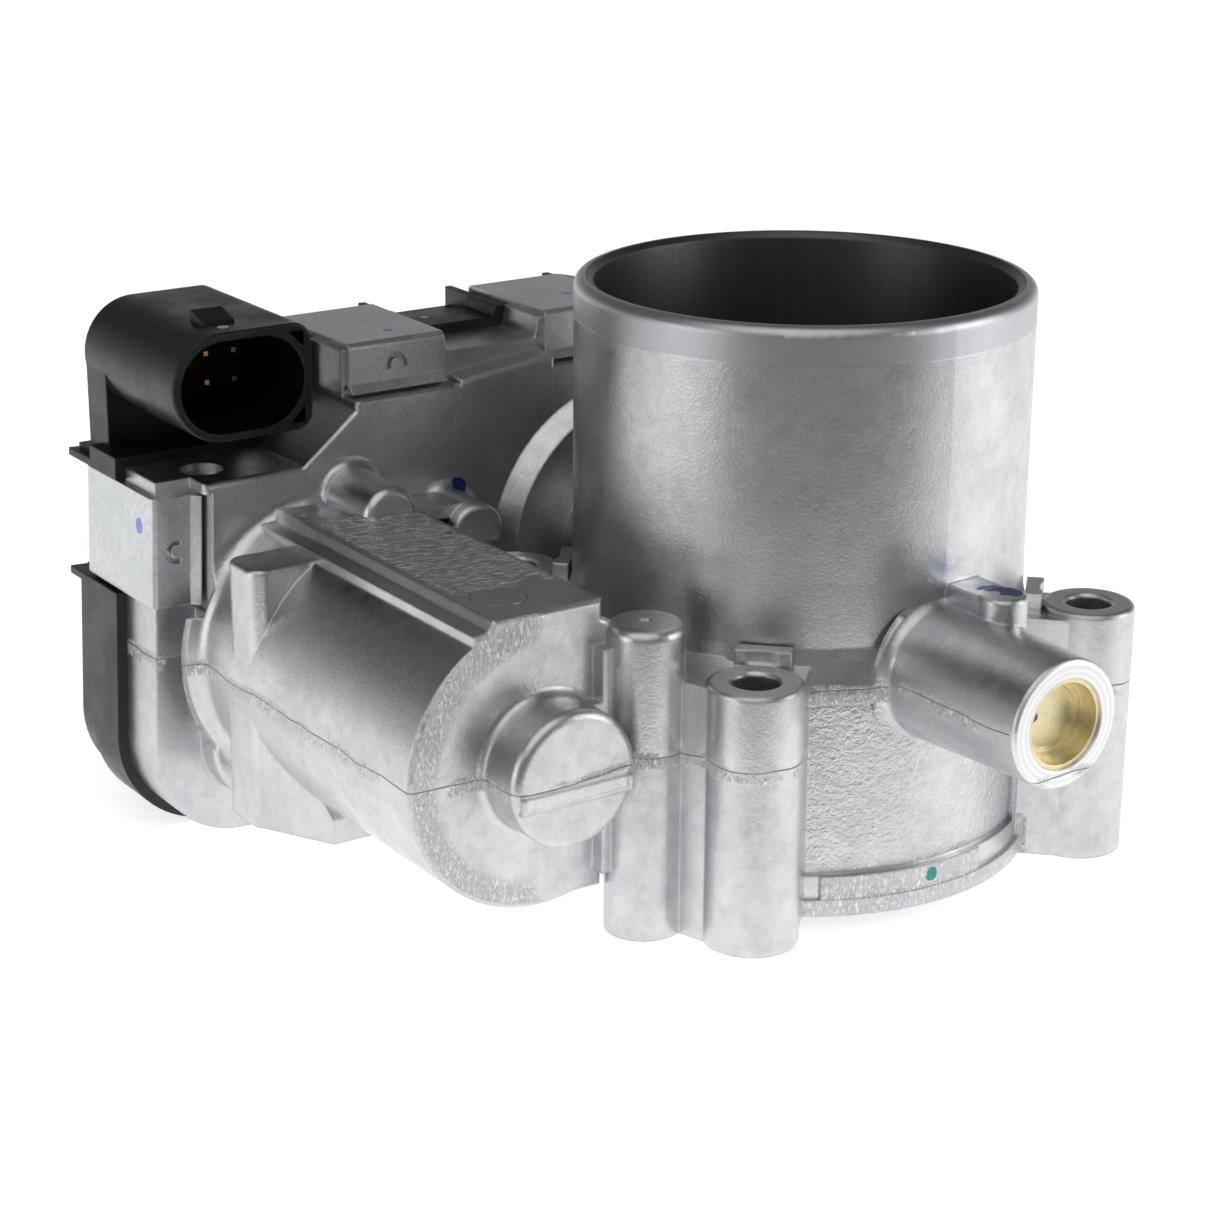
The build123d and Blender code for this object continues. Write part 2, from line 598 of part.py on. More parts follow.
def casting():
    """The die-cast housing."""
    outside = airway_body() + shaft_boss() + gear_case() + motor_housing() + bridge_webs()
    outside -= cyl_z(SHELF_DIMPLE_R, CASE_SHELF_Z - 1.2, CASE_SHELF_Z + 1, SHELF_DIMPLE_X, SHELF_DIMPLE_Y)
    outside -= slab_x(grown(joint_outline(), -WALL_T), JOINT_X - 1, DEEP_POCKET_X)
    outside -= deep_pocket()
    guide_x = (SPRING_POCKET_X - 4.4, SPRING_POCKET_X)
    outside += idler_seat()
    outside -= ring_x(21.6, BALL_OUTER_R + 1.8, WALL_INSIDE_X - 1, SPRING_POCKET_X)
    outside += ring_x(BALL_OUTER_R + 1.8, BALL_OUTER_R, guide_x[0], guide_x[1])
    outside -= cyl_x(BALL_OUTER_R, BALL_SEAT_X[0] - 3, BALL_SEAT_X[1])
    outside -= cyl_x(MOTOR_CAVITY_R, JOINT_X, MOTOR_CAVITY_END_X, MOTOR_Y, MOTOR_Z)
    outside -= cyl_x(5.2, JOINT_X, 21.0, MOTOR_Y, MOTOR_Z)
    stop_deg = STOP_GAP_DEG + math.degrees(math.atan(STOP_HALF_T / STOP_R[0]))
    outside += stop_lug(SECTOR_TO_DEG + FULL_OPEN_DEG - REST_OPEN_DEG + stop_deg)
    outside += stop_lug(SECTOR_FROM_DEG - REST_OPEN_DEG - stop_deg)
    outside -= cyl_z(BORE_R, -1, BORE_STRAIGHT_Z)
    outside -= cone_z(BORE_R, MOUTH_R, BORE_STRAIGHT_Z, BODY_TOP_Z)
    outside -= cone_z(MOUTH_R - 0.2, MOUTH_R + 1.0, BODY_TOP_Z - 0.9, BODY_TOP_Z + 0.1)
    outside -= cyl_x(SHAFT_R + 0.6, BALL_SEAT_X[0], NEEDLE_CUP_X[1])
    outside -= cyl_x(SEAL_R, BALL_SEAT_X[1] - 1, BALL_SEAT_X[1] + SEAL_W)
    outside -= cyl_x(NEEDLE_CUP_R, NEEDLE_CUP_X[0], SHAFT_BOSS_X + 1)
    outside -= cyl_x(PLUG_R, SHAFT_BOSS_X - PLUG_DEPTH, SHAFT_BOSS_X + 1)
    outside -= cyl_x(IDLER_PIN_R, JOINT_X, -39.0, IDLER_Y, IDLER_Z)
    for y, z in motor_screw_places():
        outside -= cyl_x(MOTOR_SCREW_R, JOINT_X, WALL_INSIDE_X + 9.0, y, z)
    for x, y in flange_bolts():
        outside -= cyl_z(BOLT_HOLE_R, -1, BOLT_BOSS_Z + 3, x, y)
        chamfer_z = BOLT_BOSS_Z - BOLT_CHAMFER
        outside -= cone_z(BOLT_HOLE_R, BOLT_HOLE_R + BOLT_CHAMFER, chamfer_z, BOLT_BOSS_Z, x, y)
        outside -= cyl_z(BOLT_BOSS_R + 0.4, BOLT_BOSS_Z, BOLT_BOSS_Z + 3, x, y)
    pocket = block((FLANGE_FRONT_X, WALL_FRONT_X + 1), (-CLIP_WIDTH / 2 - 0.9, CLIP_WIDTH / 2 + 0.9), (-7.4, 4))
    for place in clip_places():
        outside -= at_clip(pocket, place)
    return one_solid(outside)


# ---------------------------------------------------------------- throttle
def throttle_pose(shape):
    """Turns a shape drawn with the plate closed to the resting, slightly open pose."""
    return about_x(shape, REST_OPEN_DEG)


def throttle_shaft():
    """Shaft with a slot for the plate and two cross holes for its screws."""
    shaft = cyl_x(SHAFT_R, SHAFT_X[0], SHAFT_X[1])
    half_t = PLATE_T / 2
    shaft -= block((-PLATE_R - 0.1, PLATE_R + 0.1), (-6, 6), (SHAFT_Z - half_t, SHAFT_Z + half_t))
    for x in (-PLATE_SCREW_X, PLATE_SCREW_X):
        shaft -= cyl_z(PLATE_SCREW_R, SHAFT_Z - 6, SHAFT_Z + 6, x)
        shaft -= cyl_z(SCREW_HEAD_R + 0.1, SHAFT_Z + SHAFT_R - 1.0, SHAFT_Z + 6, x)
    return throttle_pose(shaft)


def throttle_plate():
    """Round butterfly plate."""
    half_t = PLATE_T / 2
    plate = cyl_z(PLATE_R, SHAFT_Z - half_t, SHAFT_Z + half_t)
    for x in (-PLATE_SCREW_X, PLATE_SCREW_X):
        plate -= cyl_z(PLATE_SCREW_R + STATIC_GAP, SHAFT_Z - 3, SHAFT_Z + 3, x)
    return throttle_pose(plate)


def plate_screws():
    """Two screws that clamp the plate in the shaft's slot."""
    screws = []
    head_z = SHAFT_Z + SHAFT_R - 1.0
    for x in (-PLATE_SCREW_X, PLATE_SCREW_X):
        screw = cyl_z(PLATE_SCREW_R - STATIC_GAP, SHAFT_Z - SHAFT_R - 0.4, head_z, x)
        screw += cyl_z(SCREW_HEAD_R, head_z, head_z + SCREW_HEAD_T, x)
        screw -= cyl_z(0.9, head_z + 0.7, head_z + 3, x)
        screws.append(throttle_pose(screw))
    return Compound(children=screws)


def sector_gear():
    """Plastic sector gear with its hub, pressed on the shaft end."""
    middle_deg = (SECTOR_FROM_DEG + SECTOR_TO_DEG) / 2
    wanted = (SECTOR_FROM_DEG, SECTOR_TO_DEG)
    wheel = gear(SECTOR_TEETH, COARSE_MODULE, SHAFT_TO_IDLER_DEG, 0, SHAFT_Z, SECTOR_X, wanted)
    half_span = math.radians((SECTOR_TO_DEG - SECTOR_FROM_DEG) / 2)
    reach = 60.0
    wedge = [(0.0, SHAFT_Z)]
    for step in range(5):
        angle = math.radians(middle_deg) + half_span * (step / 2 - 1)
        wedge.append((reach * math.cos(angle), SHAFT_Z + reach * math.sin(angle)))
    wheel &= prism_x(wedge, SECTOR_X[0] - 1, SECTOR_X[1] + 1)
    wheel -= window(middle_deg)
    wheel += cyl_x(SECTOR_HUB_R, MAGNET_X[1], SECTOR_X[1])
    wheel -= cyl_x(SHAFT_R, SHAFT_X[0], SECTOR_X[1] + 5)
    return one_solid(wheel)


def window(middle_deg):
    """Lightening window in the sector's web."""
    sweep = 34.0
    ring = ring_x(25.0, SECTOR_HUB_R + 4.0, SECTOR_X[0] - 1, SECTOR_X[1] + 1)
    wedge = [(0.0, SHAFT_Z)]
    for step in range(5):
        angle = math.radians(middle_deg + sweep * (step / 2 - 1))
        wedge.append((50.0 * math.cos(angle), SHAFT_Z + 50.0 * math.sin(angle)))
    return ring & prism_x(wedge, SECTOR_X[0] - 1, SECTOR_X[1] + 1)


def sensor_magnet():
    """Ring magnet seated on the sector hub's end."""
    return ring_x(6.6, SHAFT_R, MAGNET_X[0], MAGNET_X[1])


def return_spring():
    """Coils of the torsion return spring round the bearing guide, drawn at rest."""
    wire_r = 0.7
    turns = 3.5
    pitch = 1.55
    coil_r = 17.2
    start_x = SECTOR_X[1] + wire_r + 0.5
    helix = Helix(pitch=pitch, height=pitch * turns, radius=coil_r)
    section = Plane(origin=helix @ 0, z_dir=helix % 0) * Circle(wire_r)
    coil = sweep(section, path=helix, is_frenet=True)
    return Pos(start_x, 0, SHAFT_Z) * Rot(0, 90, 0) * coil


# ---------------------------------------------------------------- bearings, seal and plug
def ball_bearing_outer():
    """Outer race, pressed into the casting."""
    ring = ring_x(BALL_OUTER_R, BALL_OUTER_R - RING_T, BALL_SEAT_X[0], BALL_SEAT_X[1])
    return ring - ball_groove()


def ball_bearing_inner():
    """Inner race, pressed on the shaft."""
    ring = ring_x(SHAFT_R + RING_T, SHAFT_R, BALL_SEAT_X[0], BALL_SEAT_X[1])
    return ring - ball_groove()


def ball_track_r():
    """Radius of the circle through the ball centres."""
    return (BALL_OUTER_R + SHAFT_R) / 2


def ball_groove():
    """Track swept by the balls, cut into both races."""
    middle_x = (BALL_SEAT_X[0] + BALL_SEAT_X[1]) / 2
    track = Torus(ball_track_r(), BALL_R + RUNNING_GAP + 0.02)
    return Pos(middle_x, 0, SHAFT_Z) * Rot(0, 90, 0) * track


def bearing_balls():
    """Steel balls between the races."""
    middle_x = (BALL_SEAT_X[0] + BALL_SEAT_X[1]) / 2
    balls = []
    for number in range(BALL_COUNT):
        angle = 2 * math.pi * number / BALL_COUNT
        y = ball_track_r() * math.cos(angle)
        z = SHAFT_Z + ball_track_r() * math.sin(angle)
        balls.append(Pos(middle_x, y, z) * Sphere(BALL_R))
    return Compound(children=balls)


def needle_cup():
    """Drawn cup of the needle bearing, pressed into the plugged boss."""
    wall = NEEDLE_CUP_R - SHAFT_R - 2 * NEEDLE_R - 3 * RUNNING_GAP
    cup = ring_x(NEEDLE_CUP_R, NEEDLE_CUP_R - wall, NEEDLE_CUP_X[0], NEEDLE_CUP_X[1])
    lips = ring_x(NEEDLE_CUP_R - wall / 2, SHAFT_R + 0.5, NEEDLE_CUP_X[0], NEEDLE_CUP_X[0] + 0.8)
    return one_solid(cup + lips)


def needle_rollers():
    """Needle rollers between the cup and the shaft."""
    track = SHAFT_R + NEEDLE_R + RUNNING_GAP
    rollers = []
    for number in range(NEEDLE_COUNT):
        angle = 2 * math.pi * number / NEEDLE_COUNT
        y = track * math.cos(angle)
        z = SHAFT_Z + track * math.sin(angle)
        rollers.append(cyl_x(NEEDLE_R, NEEDLE_CUP_X[0] + 1.2, NEEDLE_CUP_X[1] - 0.4, y, z))
    return Compound(children=rollers)


def shaft_seal():
    """Rubber lip seal between the ball bearing and the airway."""
    seal = ring_x(SEAL_R, SHAFT_R + 1.2, BALL_SEAT_X[1], BALL_SEAT_X[1] + SEAL_W)
    seal += ring_x(SHAFT_R + 2, SHAFT_R + RUNNING_GAP, BALL_SEAT_X[1] + 1.8, BALL_SEAT_X[1] + SEAL_W)
    return one_solid(seal)


def core_plug():
    """Dished steel plug that closes the shaft boss."""
    front = SHAFT_BOSS_X - 0.4
    back = SHAFT_BOSS_X - PLUG_DEPTH
    plug = cyl_x(PLUG_R, back, front)
    plug -= cyl_x(PLUG_R - 0.7, back + 1.6, front + 1)
    dish = cyl_x(PLUG_R - 1.9, back + 0.9, back + 3)
    return plug - dish


# ---------------------------------------------------------------- drive motor
def motor_screw_places():
    """(y, z) of the two screws that hold the motor's front plate."""
    places = []
    for degrees in (132.0, 292.0):
        angle = math.radians(degrees)
        y = MOTOR_Y + (MOTOR_CAN_R + MOTOR_EAR_R - 1.0) * math.cos(angle)
        z = MOTOR_Z + (MOTOR_CAN_R + MOTOR_EAR_R - 1.0) * math.sin(angle)
        places.append((y, z))
    return places


def motor_can():
    """Drawn steel can of the motor."""
    can = cyl_x(MOTOR_CAN_R, MOTOR_X[0], MOTOR_X[1], MOTOR_Y, MOTOR_Z)
    can -= cyl_x(MOTOR_CAN_R - MOTOR_CAN_T, MOTOR_X[0] - 1, MOTOR_X[1] - MOTOR_CAN_T, MOTOR_Y, MOTOR_Z)
    nose_x = (MOTOR_X[1] - 1, MOTOR_X[1] + 7.0)
    can += cyl_x(4.9, nose_x[0], nose_x[1], MOTOR_Y, MOTOR_Z)
    can -= cyl_x(BUSH_R, MOTOR_X[1] - 5, nose_x[1] - 1.2, MOTOR_Y, MOTOR_Z)
    return can


def motor_bush():
    """Sintered bush at the far end of the motor shaft."""
    return ring_x(
        BUSH_R, MOTOR_SHAFT_R + RUNNING_GAP, MOTOR_X[1] - 0.8, MOTOR_X[1] + 4.6, MOTOR_Y, MOTOR_Z
    )


def motor_front_plate():
    """Plastic front plate with brush slots, two screw ears and the front bush bore."""
    plate = cyl_x(MOTOR_CAN_R, MOTOR_PLATE_X[0], MOTOR_X[0], MOTOR_Y, MOTOR_Z)
    for y, z in motor_screw_places():
        plate += cyl_x(MOTOR_EAR_R, MOTOR_PLATE_X[0], MOTOR_PLATE_X[1], y, z)
        plate -= cyl_x(MOTOR_SCREW_R + 0.1, MOTOR_PLATE_X[0] - 1, MOTOR_PLATE_X[1] + 1, y, z)
    plate += cyl_x(5.6, MOTOR_PLATE_X[0] - 1.6, MOTOR_PLATE_X[0] + 0.1, MOTOR_Y, MOTOR_Z)
    plate -= cyl_x(MOTOR_SHAFT_R + RUNNING_GAP, MOTOR_PLATE_X[0] - 4, MOTOR_X[0] + 1, MOTOR_Y, MOTOR_Z)
    return plate


def motor_magnets():
    """Two arc magnets bonded inside the can."""
    outer = MOTOR_CAN_R - MOTOR_CAN_T
    ring = ring_x(outer, outer - MAGNET_T, -38.0, 4.0, MOTOR_Y, MOTOR_Z)
    gap = block((-40, 6), (MOTOR_Y - 20, MOTOR_Y + 20), (MOTOR_Z - 2.5, MOTOR_Z + 2.5))
    return Compound(children=(ring - gap).solids())


def motor_screws():
    """Two screws through the motor's front plate."""
    screws = []
    for y, z in motor_screw_places():
        screw = cyl_x(MOTOR_SCREW_R - STATIC_GAP, MOTOR_PLATE_X[0], WALL_INSIDE_X + 8.0, y, z)
        screw += cyl_x(2.9, MOTOR_PLATE_X[0] - 1.9, MOTOR_PLATE_X[0], y, z)
        screw -= cyl_x(1.1, MOTOR_PLATE_X[0] - 3, MOTOR_PLATE_X[0] - 0.8, y, z)
        screws.append(screw)
    return Compound(children=screws)


def wave_spring():
    """Flat spring ring that loads the motor against its front plate."""
    return ring_x(11.5, 8.5, MOTOR_X[1], MOTOR_CAVITY_END_X, MOTOR_Y, MOTOR_Z)


def rotor_shaft():
    """Motor shaft."""
    return cyl_x(MOTOR_SHAFT_R, FINE_GEAR_X[0] - 0.6, MOTOR_X[1] + 4.4, MOTOR_Y, MOTOR_Z)


def rotor_core():
    """Slotted lamination stack with its windings."""
    core = ring_x(ROTOR_CORE_R, MOTOR_SHAFT_R, -36.0, 2.0, MOTOR_Y, MOTOR_Z)
    slots = 8
    for number in range(slots):
        slot = block((-37, 3), (7.0, ROTOR_CORE_R + 1), (-0.9, 0.9))
        core -= Pos(0, MOTOR_Y, MOTOR_Z) * (Rot(360.0 * number / slots, 0, 0) * slot)
    return one_solid(core)


def commutator():
    """Segmented copper commutator."""
    drum = ring_x(4.2, MOTOR_SHAFT_R, -45.0, -38.6, MOTOR_Y, MOTOR_Z)
    for number in range(4):
        cut = block((-46, -39.6), (3.2, 5.0), (-0.25, 0.25))
        drum -= Pos(0, MOTOR_Y, MOTOR_Z) * (Rot(90.0 * number, 0, 0) * cut)
    return one_solid(drum)


def motor_pinion():
    """Brass pinion on the motor shaft."""
    toward_idler = IDLER_TO_MOTOR_DEG + 180.0
    x_span = (FINE_GEAR_X[0] - 0.4, FINE_GEAR_X[1] + 0.4)
    wheel = gear(PINION_TEETH, FINE_MODULE, toward_idler, MOTOR_Y, MOTOR_Z, x_span)
    return wheel - cyl_x(MOTOR_SHAFT_R, x_span[0] - 1, x_span[1] + 1, MOTOR_Y, MOTOR_Z)


def idler_gear():
    """Two-step plastic idler."""
    big_deg = IDLER_TO_MOTOR_DEG + 180.0 / IDLER_BIG_TEETH
    small_deg = SHAFT_TO_IDLER_DEG + 180.0 + 180.0 / IDLER_SMALL_TEETH
    wheel = gear(IDLER_BIG_TEETH, FINE_MODULE, big_deg, IDLER_Y, IDLER_Z, FINE_GEAR_X)
    dish = ring_x(19.0, 7.4, FINE_GEAR_X[0] - 1, FINE_GEAR_X[0] + 1.5, IDLER_Y, IDLER_Z)
    small_x = (FINE_GEAR_X[1], SECTOR_X[1] + 0.5)
    wheel = (wheel - dish) + gear(IDLER_SMALL_TEETH, COARSE_MODULE, small_deg, IDLER_Y, IDLER_Z, small_x)
    wheel -= cyl_x(IDLER_PIN_R + RUNNING_GAP, FINE_GEAR_X[0] - 1, small_x[1] + 1, IDLER_Y, IDLER_Z)
    return one_solid(wheel)


def idler_pin():
    """Steel pin, pressed into the casting, that the idler turns on."""
    return cyl_x(IDLER_PIN_R, FINE_GEAR_X[0] - 2.4, -39.0, IDLER_Y, IDLER_Z)


# ---------------------------------------------------------------- cover, seal and clips
def connector_outline(grow):
    """(y, z) face of the connector's outside, moved outward by grow."""
    low_y, high_y = CONNECTOR_Y
    low_z, high_z = CONNECTOR_Z
    radius = (high_z - low_z) / 2 + grow
    middle_z = (low_z + high_z) / 2
    left_y = low_y + (high_z - low_z) / 2
    right_r = 3.0
    left = ThreePointArc(
        (0, left_y, middle_z - radius), (0, left_y - radius, middle_z), (0, left_y, middle_z + radius)
    )
    right = high_y + grow
    top = Line((0, left_y, middle_z + radius), (0, right - right_r, middle_z + radius))
    bottom = Line((0, left_y, middle_z - radius), (0, right - right_r, middle_z - radius))
    diagonal = right_r * (1 - math.sqrt(0.5))
    top_bend = ThreePointArc(
        (0, right - right_r, middle_z + radius),
        (0, right - diagonal, middle_z + radius - diagonal),
        (0, right, middle_z + radius - right_r),
    )
    bottom_bend = ThreePointArc(
        (0, right - right_r, middle_z - radius),
        (0, right - diagonal, middle_z - radius + diagonal),
        (0, right, middle_z - radius + right_r),
    )
    side = Line((0, right, middle_z + radius - right_r), (0, right, middle_z - radius + right_r))
    return make_face([left, top, top_bend, side, bottom_bend, bottom])


def socket_outline():
    """(y, z) face of the rounded cavity inside the connector."""
    middle_z = (CONNECTOR_Z[0] + CONNECTOR_Z[1]) / 2
    radius = (CONNECTOR_Z[1] - CONNECTOR_Z[0]) / 2 - CONNECTOR_WALL
    left_y = CONNECTOR_Y[0] + CONNECTOR_WALL + radius
    right_y = CONNECTOR_Y[1] - CONNECTOR_WALL - radius
    left = ThreePointArc(
        (0, left_y, middle_z - radius), (0, left_y - radius, middle_z), (0, left_y, middle_z + radius)
    )
    right = ThreePointArc(
        (0, right_y, middle_z + radius), (0, right_y + radius, middle_z), (0, right_y, middle_z - radius)
    )
    top = Line((0, left_y, middle_z + radius), (0, right_y, middle_z + radius))
    bottom = Line((0, right_y, middle_z - radius), (0, left_y, middle_z - radius))
    return make_face([left, top, right, bottom])


def connector_body():
    """Plug-in connector with its post down to the cover."""
    body = slab_x(connector_outline(0.0), CONNECTOR_X[0], CONNECTOR_X[1])
    body = fillet(body.faces().sort_by(Axis.X)[-1].edges(), 0.4)
    body -= slab_x(socket_outline(), SOCKET_FLOOR_X, CONNECTOR_X[1] + 1)
    for corner in corner_pockets():
        body -= prism_x(corner, CONNECTOR_X[1] - CORNER_POCKET_DEPTH, CONNECTOR_X[1] + 1)
    post_y = (CONNECTOR_Y[0] + 0.2, CONNECTOR_Y[1] - 0.6)
    post_z = (CASE_SHELF_Z - 6, (CONNECTOR_Z[0] + CONNECTOR_Z[1]) / 2)
    body += block((CONNECTOR_X[0], CONNECTOR_X[0] + 7.0), post_y, post_z)
    latch = prism_latch()
    return body + latch


def corner_pockets():
    """(y, z) triangles sunk beside the cavity at the connector's two square corners."""
    side = CONNECTOR_Y[1] - CONNECTOR_WALL
    leg = CORNER_POCKET_LEG
    pockets = []
    for edge, turn in ((CONNECTOR_Z[1] - CONNECTOR_WALL, -1), (CONNECTOR_Z[0] + CONNECTOR_WALL, 1)):
        pockets.append([(side, edge), (side - leg, edge), (side, edge + turn * leg)])
    return pockets


def prism_latch():
    """Wedge on the connector's top that the mating plug snaps over."""
    top_z = CONNECTOR_Z[1]
    middle_y = (CONNECTOR_Y[0] + CONNECTOR_Y[1]) / 2 - 1.0
    back_x, front_x = LATCH_X
    side = [
        (back_x, top_z - 0.5),
        (front_x, top_z - 0.5),
        (front_x - 1.0, top_z + 0.5),
        (back_x + 0.4, top_z + LATCH_HEIGHT),
        (back_x, top_z + LATCH_HEIGHT),
    ]
    return prism_y(side, middle_y - LATCH_WIDTH / 2, middle_y + LATCH_WIDTH / 2)


def connector_pin_places():
    """(y, z) of the six terminals."""
    middle_y = (CONNECTOR_Y[0] + CONNECTOR_Y[1]) / 2
    middle_z = (CONNECTOR_Z[0] + CONNECTOR_Z[1]) / 2
    columns = (-PIN_PITCH_Y, 0.0, PIN_PITCH_Y)
    rows = (-PIN_PITCH_Z / 2, PIN_PITCH_Z / 2)
    return [(middle_y + dy, middle_z + dz) for dy in columns for dz in rows]


def connector_pins():
    """Six gold-plated terminals moulded into the connector."""
    half = PIN_SIDE / 2
    pins = []
    for y, z in connector_pin_places():
        pins.append(block(PIN_X, (y - half, y + half), (z - half, z + half)))
    return Compound(children=pins)


def clip_fins():
    """Thin fins that stand beside each clip's web on the cover."""
    fins = Part()
    half = CLIP_WIDTH / 2 + 0.5
    for place in clip_places():
        for side in (-1, 1):
            near = side * half
            far = side * (half + 1.2)
            fin = block((COVER_BACK_X + 0.6, JOINT_X), (min(near, far), max(near, far)), (-6.0, COVER_LIP))
            fins += at_clip(fin, place)
    return fins


def cover():
    """Moulded cover: rim, domed back and the connector."""
    rim = slab_x(grown(joint_outline(), COVER_LIP), COVER_RIM_X, JOINT_X)
    back = slab_x(grown(joint_outline(), COVER_LIP - 1.4), COVER_BACK_X + 1.5, COVER_RIM_X)
    back += slab_x(grown(joint_outline(), COVER_LIP - 3.2), COVER_BACK_X, COVER_BACK_X + 1.5)
    shell = rim + back + connector_body() + clip_fins()
    hook = block((COVER_BACK_X - 1, CLIP_SEAT_X), (-CLIP_WIDTH / 2 - 0.5, CLIP_WIDTH / 2 + 0.5), (-7.6, 4))
    seat = block((COVER_BACK_X - 1, JOINT_X + 1), (-CLIP_WIDTH / 2 - 0.5, CLIP_WIDTH / 2 + 0.5), (0, 4))
    for place in clip_places():
        shell -= at_clip(hook, place)
        shell -= at_clip(seat, place)
    split_y = (TOP_DIP_Y[0] + TOP_DIP_Y[1]) / 2
    x_span = (COVER_BACK_X - 1, JOINT_X + 1)
    shell -= block(x_span, (CONNECTOR_Y[1] + 0.6, split_y), (CASE_TOP_Z, CONNECTOR_Z[1]))
    shell -= block(x_span, (split_y, CASE_ROUND_R), (SHAFT_Z + CASE_ROUND_R, CONNECTOR_Z[1]))
    inside = slab_x(grown(joint_outline(), -WALL_T - 5.4), COVER_FLOOR_X, JOINT_X + 1)
    inside += slab_x(grown(joint_outline(), -WALL_T), CLIP_SEAT_X + 2.4, JOINT_X + 1)
    shell -= inside
    shell -= gasket_ring(0.0)
    for y, z in connector_pin_places():
        half = PIN_SIDE / 2
        shell -= block((PIN_X[0], SOCKET_FLOOR_X + 1), (y - half, y + half), (z - half, z + half))
    return one_solid(shell)


def gasket_ring(spare):
    """Closed cord of seal that follows the joint outline inside the clips."""
    outer = slab_x(grown(joint_outline(), -0.7 - spare), GASKET_GROOVE_X, JOINT_X)
    inner = slab_x(grown(joint_outline(), -0.7 - GASKET_W + spare), GASKET_GROOVE_X - 1, JOINT_X + 1)
    return outer - inner


def clip():
    """One spring clip, drawn about its web centre facing +Z."""
    half = CLIP_WIDTH / 2
    web_x = (CLIP_SEAT_X - CLIP_T, FLANGE_FRONT_X + CLIP_T)
    spring = block(web_x, (-half, half), (0, CLIP_T))
    spring += block((web_x[0], CLIP_SEAT_X), (-half, half), (-CLIP_HOOK, 0))
    spring += block((FLANGE_FRONT_X, web_x[1]), (-half, half), (-CLIP_HOOK + 1, 0))
    lip = [(FLANGE_FRONT_X, -CLIP_HOOK + 1), (web_x[1], -CLIP_HOOK + 1),
           (web_x[1] + 1.1, -CLIP_HOOK - 0.4), (web_x[1] + 0.3, -CLIP_HOOK - 0.4)]
    spring += prism_y(lip, -half, half)
    edges = spring.edges().filter_by(Axis.Y).group_by(Axis.Z)[-1]
    spring = fillet(edges, CLIP_T * 0.95)
    middle_z = -CLIP_HOOK / 2
    slot = ring_x(TAB_SLOT_R, TAB_SLOT_R - 0.8, FLANGE_FRONT_X - 1, web_x[1] + 1, 0, middle_z)
    below = block((FLANGE_FRONT_X - 2, web_x[1] + 2), (-3, 3), (middle_z - 3, middle_z - 0.5))
    return spring - (slot - below)


def cover_clips():
    """All the spring clips round the joint."""
    spring = clip()
    return Compound(children=[at_clip(spring, place) for place in clip_places()])


# ---------------------------------------------------------------- electrics inside the cover
def sensor_board():
    """Circuit board of the angle sensor, on four cover posts."""
    return block(BOARD_X, (-14, 14), (SHAFT_Z - 16, SHAFT_Z + 16))


def sensor_chips():
    """Two sensing chips on the board, facing the magnet ring."""
    chips = []
    for z in (SHAFT_Z - 3.5, SHAFT_Z + 3.5):
        chips.append(block((BOARD_X[1], BOARD_X[1] + 1.4), (-2.6, 2.6), (z - 2.4, z + 2.4)))
    return Compound(children=chips)


def motor_contacts():
    """Two blade contacts that carry current from the cover to the motor."""
    blades = []
    for y in (MOTOR_Y - 12.6, MOTOR_Y - 9.4):
        blades.append(block((COVER_FLOOR_X, MOTOR_PLATE_X[0]), (y, y + 0.8), (MOTOR_Z - 2.5, MOTOR_Z + 2.5)))
    return Compound(children=blades)


def cover_gasket():
    """Rubber seal in the cover's groove."""
    return one_solid(gasket_ring(0.1))


# ---------------------------------------------------------------- write every node
NODES = {
    "housing_casting": casting,
    "throttle_shaft": throttle_shaft,
    "throttle_plate": throttle_plate,
    "plate_screws": plate_screws,
    "sector_gear": sector_gear,
    "sensor_magnet": sensor_magnet,
    "return_spring": return_spring,
    "ball_bearing_outer": ball_bearing_outer,
    "ball_bearing_inner": ball_bearing_inner,
    "bearing_balls": bearing_balls,
    "needle_cup": needle_cup,
    "needle_rollers": needle_rollers,
    "shaft_seal": shaft_seal,
    "core_plug": core_plug,
    "motor_can": motor_can,
    "motor_front_plate": motor_front_plate,
    "motor_bush": motor_bush,
    "motor_magnets": motor_magnets,
    "motor_screws": motor_screws,
    "motor_wave_spring": wave_spring,
    "rotor_shaft": rotor_shaft,
    "rotor_core": rotor_core,
    "commutator": commutator,
    "motor_pinion": motor_pinion,
    "idler_gear": idler_gear,
    "idler_pin": idler_pin,
    "cover": cover,
    "cover_gasket": cover_gasket,
    "cover_clips": cover_clips,
    "connector_pins": connector_pins,
    "sensor_board": sensor_board,
    "sensor_chips": sensor_chips,
    "motor_contacts": motor_contacts,
}

os.makedirs("parts", exist_ok=True)
for name, make in NODES.items():
    shape = make()
    export_step(shape, "parts/" + name + ".step")
    print(name, len(shape.solids()), round(shape.volume, 1))
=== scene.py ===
import json
import math

import bmesh
import bpy
from mathutils import Matrix, Vector


